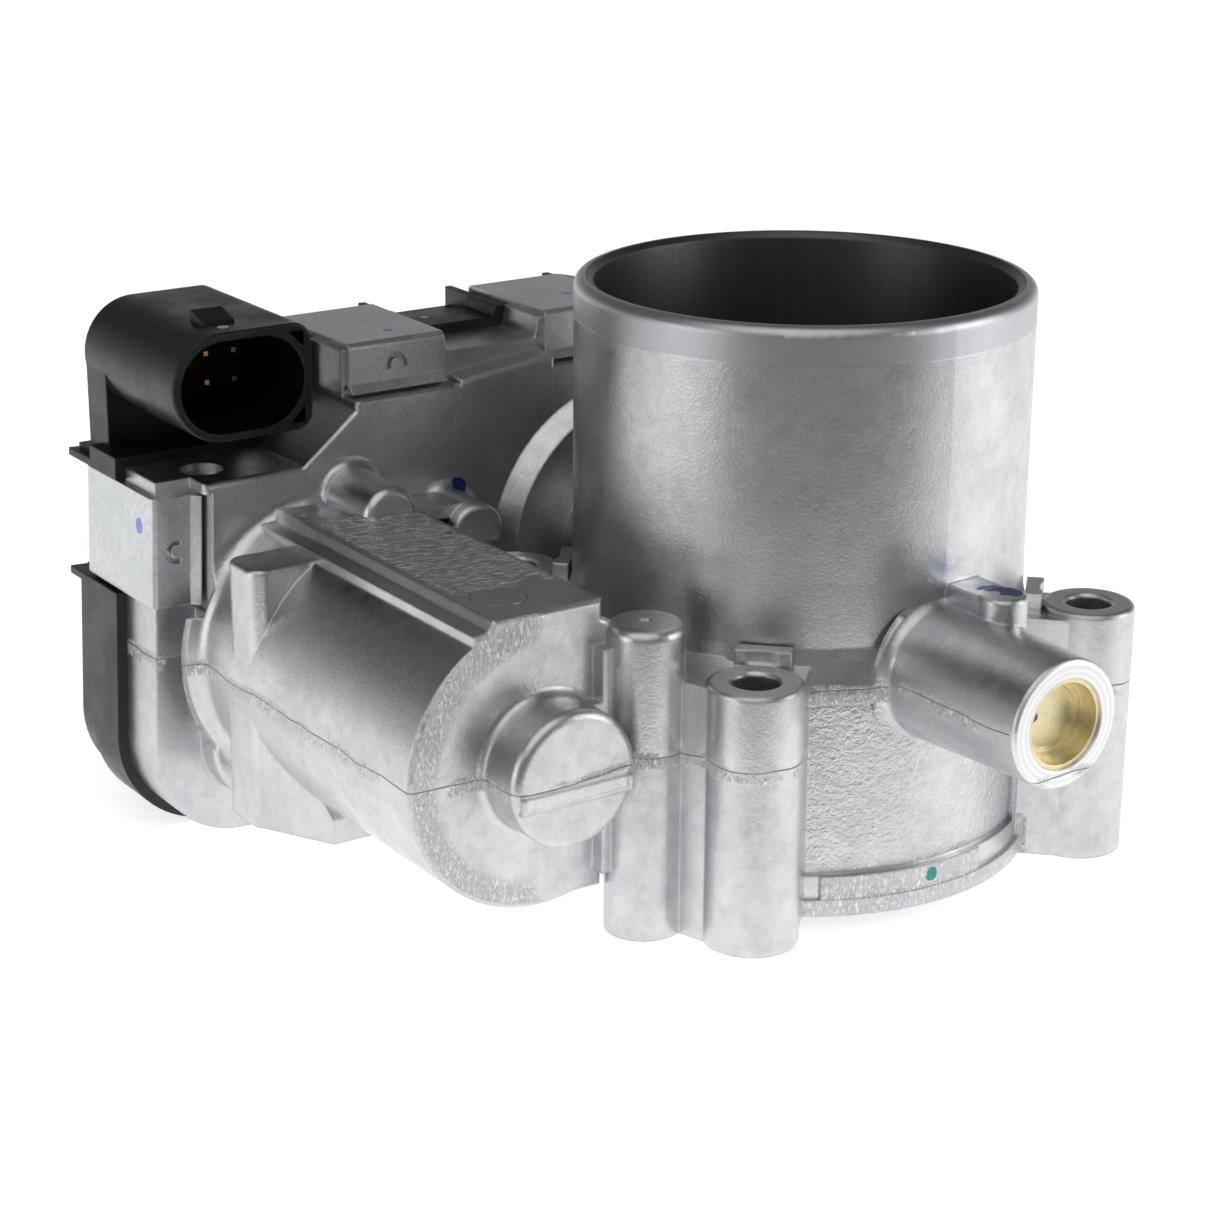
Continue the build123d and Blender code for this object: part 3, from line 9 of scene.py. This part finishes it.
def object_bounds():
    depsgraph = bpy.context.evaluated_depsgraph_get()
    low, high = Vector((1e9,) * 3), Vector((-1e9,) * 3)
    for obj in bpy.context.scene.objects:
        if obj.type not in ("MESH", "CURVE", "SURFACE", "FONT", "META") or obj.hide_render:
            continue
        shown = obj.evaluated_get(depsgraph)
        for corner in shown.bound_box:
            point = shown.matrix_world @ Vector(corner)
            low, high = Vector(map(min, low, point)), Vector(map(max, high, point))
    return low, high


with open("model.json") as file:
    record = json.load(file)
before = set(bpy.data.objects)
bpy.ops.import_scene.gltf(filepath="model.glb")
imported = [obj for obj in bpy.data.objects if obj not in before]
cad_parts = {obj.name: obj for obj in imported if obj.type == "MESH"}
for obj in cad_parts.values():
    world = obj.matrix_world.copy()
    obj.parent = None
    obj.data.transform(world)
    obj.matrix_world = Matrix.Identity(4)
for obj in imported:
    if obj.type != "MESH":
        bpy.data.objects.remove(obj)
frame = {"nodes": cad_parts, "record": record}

CAD_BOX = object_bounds()
MM = 0.001

# Places on the part, in millimetres, in the shared frame.
MOTOR_AXIS_Y = -58.33
MOTOR_AXIS_Z = 28.57
MOTOR_END_X = 17.3
MOTOR_CAP_X = 25.8
FLAT_TOP_Z = 51.2
SHAFT_Z = 36.2
SHAFT_BOSS_X = 61.8
MOUTH_R = 33.2
BODY_R = 36.8
LIP_BAND_Z = 83.4
TOP_Z = 89.0
PARTING_Z = 28.6
SHOULDER_Z = 35.4
EJECTOR_PLACE = (8.4, -60.3, FLAT_TOP_Z)
EJECTOR_R = 4.0
PIN_HOLE_PLACE = (3.6, -79.5, 32.6)
PIN_HOLE_R = 0.55

# The parting line wanders by this much, in millimetres.
LINE_WANDER = 3.0
# A limit that lies beyond the part on every side, in millimetres.
FAR = 900.0

# Camera and floor, in metres and degrees.
CAMERA_PLACE = (0.334459, -0.264211, 0.181808)
CAMERA_AZIMUTH = 55.677
CAMERA_ELEVATION = 18.963
CAMERA_ROLL = 0.359
LENS_MM = 84.863
SENSOR_MM = 36.0
FLOOR_R = 0.9
FLOOR_MIDDLE = (-0.62, 0.42)
FLOOR_DROP = 0.0002


# ------------------------------------------------------------------ small tools
def linear(hex_colour):
    """An sRGB hex colour as linear red, green, blue and alpha."""
    parts = [int(hex_colour[i:i + 2], 16) / 255 for i in (1, 3, 5)]
    return tuple(c / 12.92 if c <= 0.04045 else ((c + 0.055) / 1.055) ** 2.4 for c in parts) + (1.0,)


def add(tree, kind, sockets=(), **settings):
    """Adds a node with its settings; sockets are (input, value or output to link) pairs."""
    made = tree.nodes.new("ShaderNode" + kind)
    for name, value in settings.items():
        setattr(made, name, value)
    for key, value in sockets:
        if isinstance(value, bpy.types.NodeSocket):
            tree.links.new(value, made.inputs[key])
        else:
            made.inputs[key].default_value = value
    return made


def per_mm(size):
    """Noise scale, in metres, whose features are about this many millimetres across."""
    return 1.0 / (size * MM)


def combine(tree, operation, values):
    """Folds a list of numbers together with one arithmetic operation."""
    result = values[0]
    for value in values[1:]:
        result = add(tree, "Math", [(0, result), (1, value)], operation=operation).outputs[0]
    return result


def zone(tree, *spans):
    """Mask that is 1 where each value, in metres, lies in its span: (value, low, high, soft edge) in mm."""
    sides = []
    for value, low, high, soft in spans:
        for edge, start, end in ((low, 0.0, 1.0), (high, 1.0, 0.0)):
            step = (value, (edge - soft) * MM, (edge + soft) * MM, start, end)
            sides.append(add(tree, "MapRange", enumerate(step)).outputs[0])
    return combine(tree, "MULTIPLY", sides)


def blended(tree, first, layers, kind):
    """Values laid over the first in turn, each (mask, value); kind is RGBA or FLOAT."""
    below, above, out = (6, 7, 2) if kind == "RGBA" else (2, 3, 0)
    result = first
    for mask, value in layers:
        mixed = add(tree, "Mix", [(0, mask), (below, result), (above, value)], data_type=kind)
        result = mixed.outputs[out]
    return result


def surface(name, metallic):
    """An empty material: its tree, its shader and the place on the piece."""
    made = bpy.data.materials.new(name)
    made.use_nodes = True
    tree = made.node_tree
    shader = tree.nodes["Principled BSDF"]
    shader.inputs["Metallic"].default_value = metallic
    return made, tree, shader, add(tree, "TexCoord").outputs["Object"]


def from_axis(tree, place, centre, across):
    """Distance from an axis through a centre in mm; across has 1 for the directions that count."""
    middle = [c * MM for c in centre]
    away = add(tree, "VectorMath", [(0, place), (1, middle)], operation="SUBTRACT").outputs[0]
    flat = add(tree, "VectorMath", [(0, away), (1, across)], operation="MULTIPLY").outputs[0]
    return add(tree, "VectorMath", [(0, flat)], operation="LENGTH").outputs["Value"]


PAINT_ROUGHNESS = 0.5


def paint_masks(tree, place, spots):
    """Layers for ragged daubs of marking paint: spots are (x, y, z, radius, hex) in mm."""
    wobble = add(tree, "TexNoise", [("Vector", place), ("Scale", per_mm(1.4))]).outputs[0]
    layers = []
    for x, y, z, radius, hex_colour in spots:
        away = from_axis(tree, place, (x, y, z), (1, 1, 1))
        ragged = add(tree, "Math", [(0, wobble), (1, radius * MM * 0.8), (2, away)], operation="MULTIPLY_ADD")
        edge = radius * MM * 1.4
        daub = (ragged.outputs[0], edge, edge * 0.92, 0.0, 0.92)
        layers.append((add(tree, "MapRange", enumerate(daub)).outputs[0], linear(hex_colour)))
    return layers


def finish(tree, shader, colour, roughness, height, edge_mm):
    """Joins colour, roughness and height, in metres, to the shader, with corners rounded by edge_mm."""
    soft_edge = add(tree, "Bevel", [("Radius", edge_mm * MM)], samples=4).outputs[0]
    bump = add(tree, "Bump", [("Height", height), ("Normal", soft_edge), ("Distance", 1.0)]).outputs[0]
    for socket, value in (("Base Color", colour), ("Roughness", roughness), ("Normal", bump)):
        tree.links.new(value, shader.inputs[socket])


# ------------------------------------------------------------------ cast aluminium
# Daubs of marking paint: x, y, z and radius in mm, and the colour.
CAST_PAINT = [
    (37.2, -1.9, 4.7, 1.15, "#2F9C94"),
    (-21.2, -50.6, 51.2, 0.75, "#1F8F86"),
    (-46.7, -33.5, 49.5, 1.7, "#27308A"),
    (-38.4, -37.6, 47.4, 1.2, "#2A3A9A"),
    (40.4, 4.0, 49.9, 1.9, "#2B3A8C"),
    (43.6, 5.0, 49.9, 2.0, "#2B3A8C"),
]


def cast_aluminium():
    """Die-cast aluminium, shot and tumbled: satin grain, mottled skin, a trimmed parting line that
    shines where the flash was broken off, and a brighter machined face at the boss. The machined
    lip is painted a shade darker as a painted reflection, the flow-fold crests carry painted glint,
    and the bore, the pits and the groove of the parting line are painted dark as painted shade."""
    made, tree, shader, place = surface("die_cast_aluminium", 1.0)
    x, y, z = add(tree, "SeparateXYZ", [(0, place)]).outputs
    airway_r = from_axis(tree, place, (0, 0, 0), (1, 1, 0))
    motor_r = from_axis(tree, place, (0, MOTOR_AXIS_Y, MOTOR_AXIS_Z), (0, 1, 1))
    shaft_r = from_axis(tree, place, (0, 0, SHAFT_Z), (0, 1, 1))
    long_place = add(tree, "Mapping", [("Vector", place), ("Scale", (1.0, 1.0, 0.03))]).outputs[0]
    tear_place = add(tree, "Mapping", [("Vector", place), ("Scale", (1.0, 1.0, 0.45))]).outputs[0]
    turn = (0, 0, math.radians(35))
    fold_sockets = [("Vector", place), ("Rotation", turn), ("Scale", (1.0, 0.55, 1.0))]
    fold_place = add(tree, "Mapping", fold_sockets).outputs[0]

    # shot-blast grain is about 0.2 mm; drawn at 0.45 mm so that it shows
    patterns = []
    for where, size, detail, rough in (
        (place, 11, 4.0, 0.6),
        (place, 2.6, 5.0, 0.7),
        (place, 0.45, 2.0, 0.6),
        (place, 0.9, 3.0, 0.65),
        (place, 6, 3.0, 0.5),
        (place, 16, 2.0, 0.5),
        (long_place, 1.0, 3.0, 0.5),
        (tear_place, 0.6, 5.0, 0.75),
        (fold_place, 1.0, 5.0, 0.6),
    ):
        sockets = [("Vector", where), ("Scale", per_mm(size)), ("Detail", detail), ("Roughness", rough)]
        patterns.append(add(tree, "TexNoise", sockets).outputs[0])
    cloud, mottle, grain, skin, edge_noise, meander, streak, tears, folds = patterns
    # turning marks are about 0.2 mm apart; drawn 0.9 mm apart, and a wave repeats every 0.314 of its scale
    ring_place = add(tree, "CombineXYZ", [(0, shaft_r)]).outputs[0]
    ring_sockets = [("Vector", ring_place), ("Scale", per_mm(3.0)), ("Distortion", 0.6)]
    rings = add(tree, "TexWave", ring_sockets).outputs[0]

    # where the skin differs: radii, x, y and z in millimetres, each with its soft edge
    ragged_x = add(tree, "Math", [(0, edge_noise), (1, 22 * MM), (2, x)], operation="MULTIPLY_ADD").outputs[0]
    bore = zone(tree, (airway_r, -10, MOUTH_R, 0.05), (z, -2, TOP_Z + 1, 0.1))
    lip = zone(tree, (airway_r, MOUTH_R, 36, 0.05), (z, LIP_BAND_Z, TOP_Z + 1, 0.15))
    ring = zone(tree, (x, SHAFT_BOSS_X - 0.5, FAR, 0.1))
    flow_z = (z, FLAT_TOP_Z - 0.2, FLAT_TOP_Z + 0.3, 0.1)
    flow = zone(tree, flow_z, (y, -65.4, -48.6, 0.6), (ragged_x, -26, 16, 1.5))
    panel = zone(tree, (airway_r, 35.8, 36.5, 0.1), (x, 20, 60, 1), (z, 7, 33, 0.8))
    foot = zone(tree, (airway_r, BODY_R + 0.1, 38.5, 0.1), (x, 10, 60, 1), (z, -1, 6.6, 0.2))
    motor_face = zone(tree, (x, MOTOR_END_X - 0.4, MOTOR_END_X + 0.3, 0.1), (motor_r, 12, 26, 0.5))
    ledge_edge = zone(tree, (airway_r, 36.1, 37.4, 0.15), (z, SHOULDER_Z - 1.8, SHOULDER_Z + 0.4, 0.4))

    # parting line: low on the housing, at the shoulder of the round body, at the shaft on its boss
    on_body = zone(tree, (airway_r, 33, 37.6, 0.2), (y, -24, 22, 1.5))
    on_boss = zone(tree, (x, 37.6, 61, 0.3), (y, -12, 12, 1.0))
    line_z = blended(tree, PARTING_Z * MM, [(on_body, SHOULDER_Z * MM), (on_boss, SHAFT_Z * MM)], "FLOAT")
    level = combine(tree, "SUBTRACT", [z, line_z, LINE_WANDER / 2 * MM])
    wander = [(0, meander), (1, LINE_WANDER * MM), (2, level)]
    off_line = add(tree, "Math", wander, operation="MULTIPLY_ADD").outputs[0]
    outside = zone(tree, (airway_r, 34.9, FAR, 0.3))
    spans = (
        (edge_noise, 0.44, 0.56, 0.0, 1.0),
        (tears, 0.45, 0.58, 0.0, 1.0),
        (folds, 0.48, 0.68, 0.0, 0.75),
        (mottle, 0.42, 0.72, 0.0, 0.30),
        (grain, 0.55, 0.75, 0.0, 0.22),
        (cloud, 0.45, 0.70, 0.0, 0.25),
        (mottle, 0.30, 0.70, 0.27, 0.40),
    )
    scaled = [add(tree, "MapRange", enumerate(span)).outputs[0] for span in spans]
    patches, torn, fold_tops, dark_patch, light_grain, warm, rough = scaled
    witness = combine(tree, "MULTIPLY", [zone(tree, (off_line, -0.10, 0.06, 0.05)), outside])
    flash = combine(tree, "MULTIPLY", [zone(tree, (off_line, -1.7, 0.5, 0.4)), outside, torn, patches])
    face_rim = zone(tree, (motor_r, 18.5, 22.6, 1.2), (y, -90, -60, 2))
    face_flash = combine(tree, "MULTIPLY", [motor_face, face_rim, torn, 0.6])
    foot_flash = combine(tree, "MULTIPLY", [foot, torn, 0.7])
    ledge_flash = combine(tree, "MULTIPLY", [ledge_edge, torn])
    # crests of the flow folds on the flat top are painted bright: painted glint
    fold_crest_glint = combine(tree, "MULTIPLY", [flow, fold_tops])
    # a strip on the end cap where a runner was trimmed off
    strip_z = (z, PARTING_Z - 2.6, PARTING_Z - 0.3, 0.15)
    cap_strip = zone(tree, (x, MOTOR_CAP_X - 0.6, MOTOR_CAP_X + 1.2, 0.1), (motor_r, -1, 8.6, 0.3), strip_z)
    flash_and_fold_glint = combine(tree, "MAXIMUM", [flash, face_flash, foot_flash, ledge_flash, fold_crest_glint, cap_strip])

    # ejector mark and a pin hole in the skin, later painted near black: painted shade in the hollows
    marks = []
    for centre, inner, outer in (
        (EJECTOR_PLACE, EJECTOR_R, EJECTOR_R + 0.15),
        (PIN_HOLE_PLACE, -1.0, PIN_HOLE_R),
    ):
        marks.append(zone(tree, (from_axis(tree, place, centre, (1, 1, 1)), inner, outer, 0.06)))
    pits = combine(tree, "MAXIMUM", marks)

    # the bore is painted dark grey with lighter machining streaks: painted shade inside the airway
    shaded_bore_colour = blended(tree, linear("#5C5D60"), [(streak, linear("#6C6D70"))], "RGBA")
    turned = blended(tree, linear("#E0E1E3"), [(rings, linear("#F0F0F1"))], "RGBA")
    # the groove of the parting line is painted dark: painted shade in the crease
    line_groove_shade = combine(tree, "MULTIPLY", [witness, 0.55])
    # the machined lip band is painted a shade darker than the mottled skin: a painted reflection
    lip_painted_reflection = combine(tree, "MULTIPLY", [lip, 0.7])
    colour = blended(tree, linear("#B8BABD"), [
        (cloud, linear("#E0E1E2")),
        (dark_patch, linear("#A0A2A8")),
        (light_grain, linear("#FAFAFA")),
        (warm, linear("#DDD6D0")),
        (bore, shaded_bore_colour),
        (ring, turned),
        (lip_painted_reflection, linear("#BABBBF")),
        # torn flash is bright bare metal; on the fold crests this colour is painted glint
        (flash_and_fold_glint, linear("#EFF0F1")),
        (line_groove_shade, linear("#4A4B4E")),
        # pits: painted shade in the pin hole and round the ejector mark
        (pits, linear("#2E2F31")),
    ] + paint_masks(tree, place, CAST_PAINT), "RGBA")
    roughness = blended(tree, rough, [(bore, 0.42), (ring, 0.36), (lip, 0.40), (flash_and_fold_glint, 0.34)], "FLOAT")

    # height, in metres: grain everywhere but the machined faces, more on the as-cast panel
    smooth = combine(tree, "MAXIMUM", [bore, ring, combine(tree, "MULTIPLY", [lip, 0.6])])
    as_cast = combine(tree, "SUBTRACT", [1.0, smooth])
    heights = []
    for pattern, mask, depth_mm in (
        (grain, as_cast, 0.035),
        (mottle, as_cast, 0.03),
        (skin, panel, 0.22),
        (folds, flow, 0.8),
        (tears, flash_and_fold_glint, 0.28),
        (rings, ring, 0.012),
        (streak, bore, 0.005),
        (1.0, witness, -0.12),
        (1.0, pits, -0.25),
    ):
        heights.append(combine(tree, "MULTIPLY", [pattern, mask, depth_mm * MM]))
    # cast corners are rounded about 0.6 mm
    finish(tree, shader, colour, roughness, combine(tree, "ADD", heights), 0.6)
    return made


# ------------------------------------------------------------------ the other finishes
LAVENDER = "#A9B4E6"

# For each slot: darker and lighter colour, roughness span, size and depth of the grain in mm,
# stretch of the grain along x, y and z, rounding of the corners in mm, and daubs of paint.
PLAIN = {
    # glass-filled moulding with a fine spark-eroded texture, satin where handled
    "black_plastic": dict(
        name="glass_filled_nylon_black", colours=("#050506", "#0D0E10"), metallic=0.0,
        rough=(0.30, 0.44), grain_mm=0.5, depth_mm=0.02, edge_mm=0.45,
        daubs=[(-48.0, -73.8, 80.8, 1.0, LAVENDER), (-67.8, -26.8, 72.5, 0.7, LAVENDER)]),
    # bright zinc on spring sheet, evenly plated
    "zinc_clip_steel": dict(
        name="zinc_plated_spring_sheet", colours=("#C4C7C9", "#DFE1E3"),
        rough=(0.30, 0.40), grain_mm=0.8, depth_mm=0.005, edge_mm=0.35,
        daubs=[(-55.1, -85.9, 49.6, 1.3, "#8F9AD8"), (-56.1, -40.5, 74.4, 0.9, LAVENDER),
               (-60.0, -3.5, 75.2, 0.9, LAVENDER)]),
    # drawn cup, pale brass under its passivation
    "yellow_zinc_steel": dict(
        name="yellow_passivated_zinc", colours=("#DFD2A4", "#F0E6C4"),
        rough=(0.36, 0.42), grain_mm=1.2, depth_mm=0.002,
        daubs=[(57.4, -2.6, 36.6, 1.1, "#33407F")]),
    # ground and polished, fine marks round the axis
    "ground_steel": dict(
        name="ground_bearing_steel", colours=("#9B9C9F", "#C6C7C9"),
        rough=(0.16, 0.30), grain_mm=0.4, depth_mm=0.006, stretch=(0.1, 1, 1)),
    # rolled sheet, tarnished brown in patches
    "rolled_brass_plate": dict(
        name="rolled_sheet_brass", colours=("#9C7A42", "#CBA662"),
        rough=(0.24, 0.42), grain_mm=0.6, depth_mm=0.01, stretch=(1, 0.08, 1)),
    # moulded gears with a faint mottle
    "gear_plastic": dict(
        name="moulded_polyacetal_ivory", colours=("#CFC8B4", "#E8E2D2"), metallic=0.0,
        rough=(0.40, 0.55), grain_mm=0.7, depth_mm=0.02, edge_mm=0.2),
    # bonded ferrite: dull dark grey with a powdery bloom
    "sintered_magnet": dict(
        name="bonded_ferrite", colours=("#26262A", "#45454A"), metallic=0.0,
        rough=(0.55, 0.75), grain_mm=0.4, depth_mm=0.03, edge_mm=0.2),
    # drawn wire, blued by tempering
    "spring_steel": dict(
        name="tempered_spring_wire", colours=("#53555B", "#84868C"),
        rough=(0.25, 0.40), grain_mm=0.4, depth_mm=0.01, edge_mm=0.1),
    # matt rubber with a bloom
    "seal_rubber": dict(
        name="nitrile_rubber", colours=("#0B0B0C", "#1D1D1E"), metallic=0.0,
        rough=(0.60, 0.80), grain_mm=0.4, depth_mm=0.03),
    # zinc plate over pressed steel
    "plated_steel": dict(
        name="zinc_plated_steel", colours=("#A4A6A9", "#D0D2D4"),
        rough=(0.26, 0.42), grain_mm=0.6, depth_mm=0.012),
    # porous and oil-dark
    "sintered_bronze": dict(
        name="oil_soaked_sintered_bronze", colours=("#6E4F2C", "#A27B49"),
        rough=(0.38, 0.55), grain_mm=0.3, depth_mm=0.04, edge_mm=0.2),
    # sheets 0.5 mm thick, varnished
    "lamination_steel": dict(
        name="varnished_laminations", colours=("#2F2A28", "#6A6462"),
        rough=(0.35, 0.50), grain_mm=0.5, depth_mm=0.06, stretch=(1, 0.06, 0.06), edge_mm=0.1),
    # turned bars
    "commutator_copper": dict(
        name="turned_copper", colours=("#A5613C", "#D98D62"),
        rough=(0.20, 0.34), grain_mm=0.4, depth_mm=0.01, stretch=(1, 0.1, 0.1), edge_mm=0.1),
    # gold flash over brass terminals
    "gold_plate": dict(
        name="gold_flashed_brass", colours=("#C79A45", "#EFC873"),
        rough=(0.18, 0.28), grain_mm=0.4, depth_mm=0.006, edge_mm=0.15),
    # glass-epoxy board under green resist; cloth weave at 0.5 mm
    "board_laminate": dict(
        name="solder_resist_green", colours=("#0C3A22", "#1B5A38"), metallic=0.0,
        rough=(0.30, 0.42), grain_mm=0.5, depth_mm=0.02, edge_mm=0.1),
    # transfer-moulded epoxy
    "chip_resin": dict(
        name="moulded_epoxy_black", colours=("#141416", "#242427"), metallic=0.0,
        rough=(0.50, 0.62), grain_mm=0.4, depth_mm=0.015, edge_mm=0.15),
}


def plain_finish(
    name, colours, rough, grain_mm, depth_mm, metallic=1.0, stretch=(1, 1, 1), edge_mm=0.3, daubs=()
):
    """A surface with grain and slow cloudy changes of tone, from its row in the table."""
    made, tree, shader, place = surface(name, metallic)
    low, high = (linear(hex_colour) for hex_colour in colours)
    drawn = add(tree, "Mapping", [("Vector", place), ("Scale", stretch)]).outputs[0]
    fine = [("Vector", drawn), ("Scale", per_mm(grain_mm)), ("Detail", 4.0)]
    grain = add(tree, "TexNoise", fine).outputs[0]
    cloud = add(tree, "TexNoise", [("Vector", place), ("Scale", per_mm(grain_mm * 14))]).outputs[0]
    both = combine(tree, "MULTIPLY", [grain, cloud])
    tone = add(tree, "MapRange", [(0, both), (1, 0.12), (2, 0.40)]).outputs[0]
    roughness = add(tree, "MapRange", enumerate((cloud, 0.35, 0.65, *rough))).outputs[0]
    paint = paint_masks(tree, place, daubs)
    colour = blended(tree, low, [(tone, high)] + paint, "RGBA")
    roughness = blended(tree, roughness, [(mask, PAINT_ROUGHNESS) for mask, _ in paint], "FLOAT")
    finish(tree, shader, colour, roughness, combine(tree, "MULTIPLY", [grain, depth_mm * MM]), edge_mm)
    return made


def dress_nodes():
    """Gives every node the finish of its slot."""
    ready = {slot: plain_finish(**row) for slot, row in PLAIN.items()}
    ready["cast_aluminium"] = cast_aluminium()
    for part in frame["record"]["subparts"]:
        node = frame["nodes"][part["node"]]
        for place in node.material_slots:
            place.material = ready[part["material_slot"]]


# ------------------------------------------------------------------ stage, light and camera
def floor():
    """A plain pale floor, level with the lowest point of the part and lit from below like a light table."""
    mesh = bpy.data.meshes.new("floor")
    shape = bmesh.new()
    bmesh.ops.create_circle(shape, cap_ends=True, segments=96, radius=FLOOR_R)
    bmesh.ops.translate(shape, verts=shape.verts, vec=(*FLOOR_MIDDLE, CAD_BOX[0][2] - FLOOR_DROP))
    shape.to_mesh(mesh)
    shape.free()
    board = bpy.data.objects.new("floor", mesh)
    bpy.context.scene.collection.objects.link(board)
    made, tree, shader, place = surface("matt_white_board", 0.0)
    tooth = add(tree, "TexNoise", [("Vector", place), ("Scale", per_mm(3))]).outputs[0]
    pale = blended(tree, linear("#F4F4F4"), [(tooth, linear("#FBFBFB"))], "RGBA")
    tree.links.new(pale, shader.inputs["Base Color"])
    for socket, value in (("Roughness", 0.9), ("Emission Color", (1, 1, 1, 1)), ("Emission Strength", 0.72)):
        shader.inputs[socket].default_value = value
    mesh.materials.append(made)


def studio():
    """A white room, brightest low and behind the part, with an overhead softbox and two lamps."""
    world = bpy.data.worlds.new("studio")
    bpy.context.scene.world = world
    world.use_nodes = True
    tree = world.node_tree
    way = add(tree, "TexCoord").outputs["Generated"]
    height = add(tree, "SeparateXYZ", [(0, way)]).outputs[2]
    turned = math.radians(CAMERA_AZIMUTH)
    far_side = (-math.sin(turned), math.cos(turned), 0.0)
    behind = add(tree, "VectorMath", [(0, way), (1, far_side)], operation="DOT_PRODUCT").outputs["Value"]
    spans = ((behind, -0.3, 0.9, 0.21, 0.85), (height, 0.02, 0.35, 1.0, 0.16))
    room = combine(tree, "MULTIPLY", [add(tree, "MapRange", enumerate(span)).outputs[0] for span in spans])
    seen = add(tree, "LightPath").outputs["Is Camera Ray"]
    back = tree.nodes["Background"]
    tree.links.new(blended(tree, room, [(seen, 1.0)], "FLOAT"), back.inputs["Strength"])
    back.inputs["Color"].default_value = (1, 1, 1, 1)
    middle = Vector((0, -0.02, 0.04))
    for name, kind, spot, size, power in (
        ("overhead_softbox", "SUN", (0.377, -0.395, 0.887), 0.0, 1.0),
        ("right_softbox", "AREA", (0.45, 0.45, 0.20), 0.4, 1.4),
        ("left_softbox", "AREA", (-0.05, -0.70, 0.12), 0.4, 0.8),
    ):
        lamp = bpy.data.lights.new(name, kind)
        lamp.energy = power
        if kind == "SUN":
            lamp.angle = math.radians(70)
        else:
            lamp.size = size
        holder = bpy.data.objects.new(name, lamp)
        holder.location = spot
        holder.rotation_euler = (middle - Vector(spot)).to_track_quat("-Z", "Y").to_euler()
        bpy.context.scene.collection.objects.link(holder)
    bpy.context.scene.view_settings.view_transform = "Standard"


def camera():
    """A camera with a long lens, looking down at the corner between the motor and the shaft boss."""
    azimuth, elevation, roll = (math.radians(d) for d in (CAMERA_AZIMUTH, CAMERA_ELEVATION, CAMERA_ROLL))
    flat = math.cos(elevation)
    back = Vector((math.sin(azimuth) * flat, -math.cos(azimuth) * flat, math.sin(elevation)))
    right = Vector((math.cos(azimuth), math.sin(azimuth), 0))
    up = back.cross(right)
    level = right * math.cos(roll) + up * math.sin(roll)
    upright = up * math.cos(roll) - right * math.sin(roll)
    lens = bpy.data.cameras.new("camera")
    lens.sensor_width = SENSOR_MM
    lens.lens = LENS_MM
    lens.clip_start = 0.01
    taker = bpy.data.objects.new("camera", lens)
    stand = Matrix((level, upright, back)).transposed().to_4x4()
    stand.translation = Vector(CAMERA_PLACE)
    taker.matrix_world = stand
    bpy.context.scene.collection.objects.link(taker)
    bpy.context.scene.camera = taker


dress_nodes()
floor()
studio()
camera()
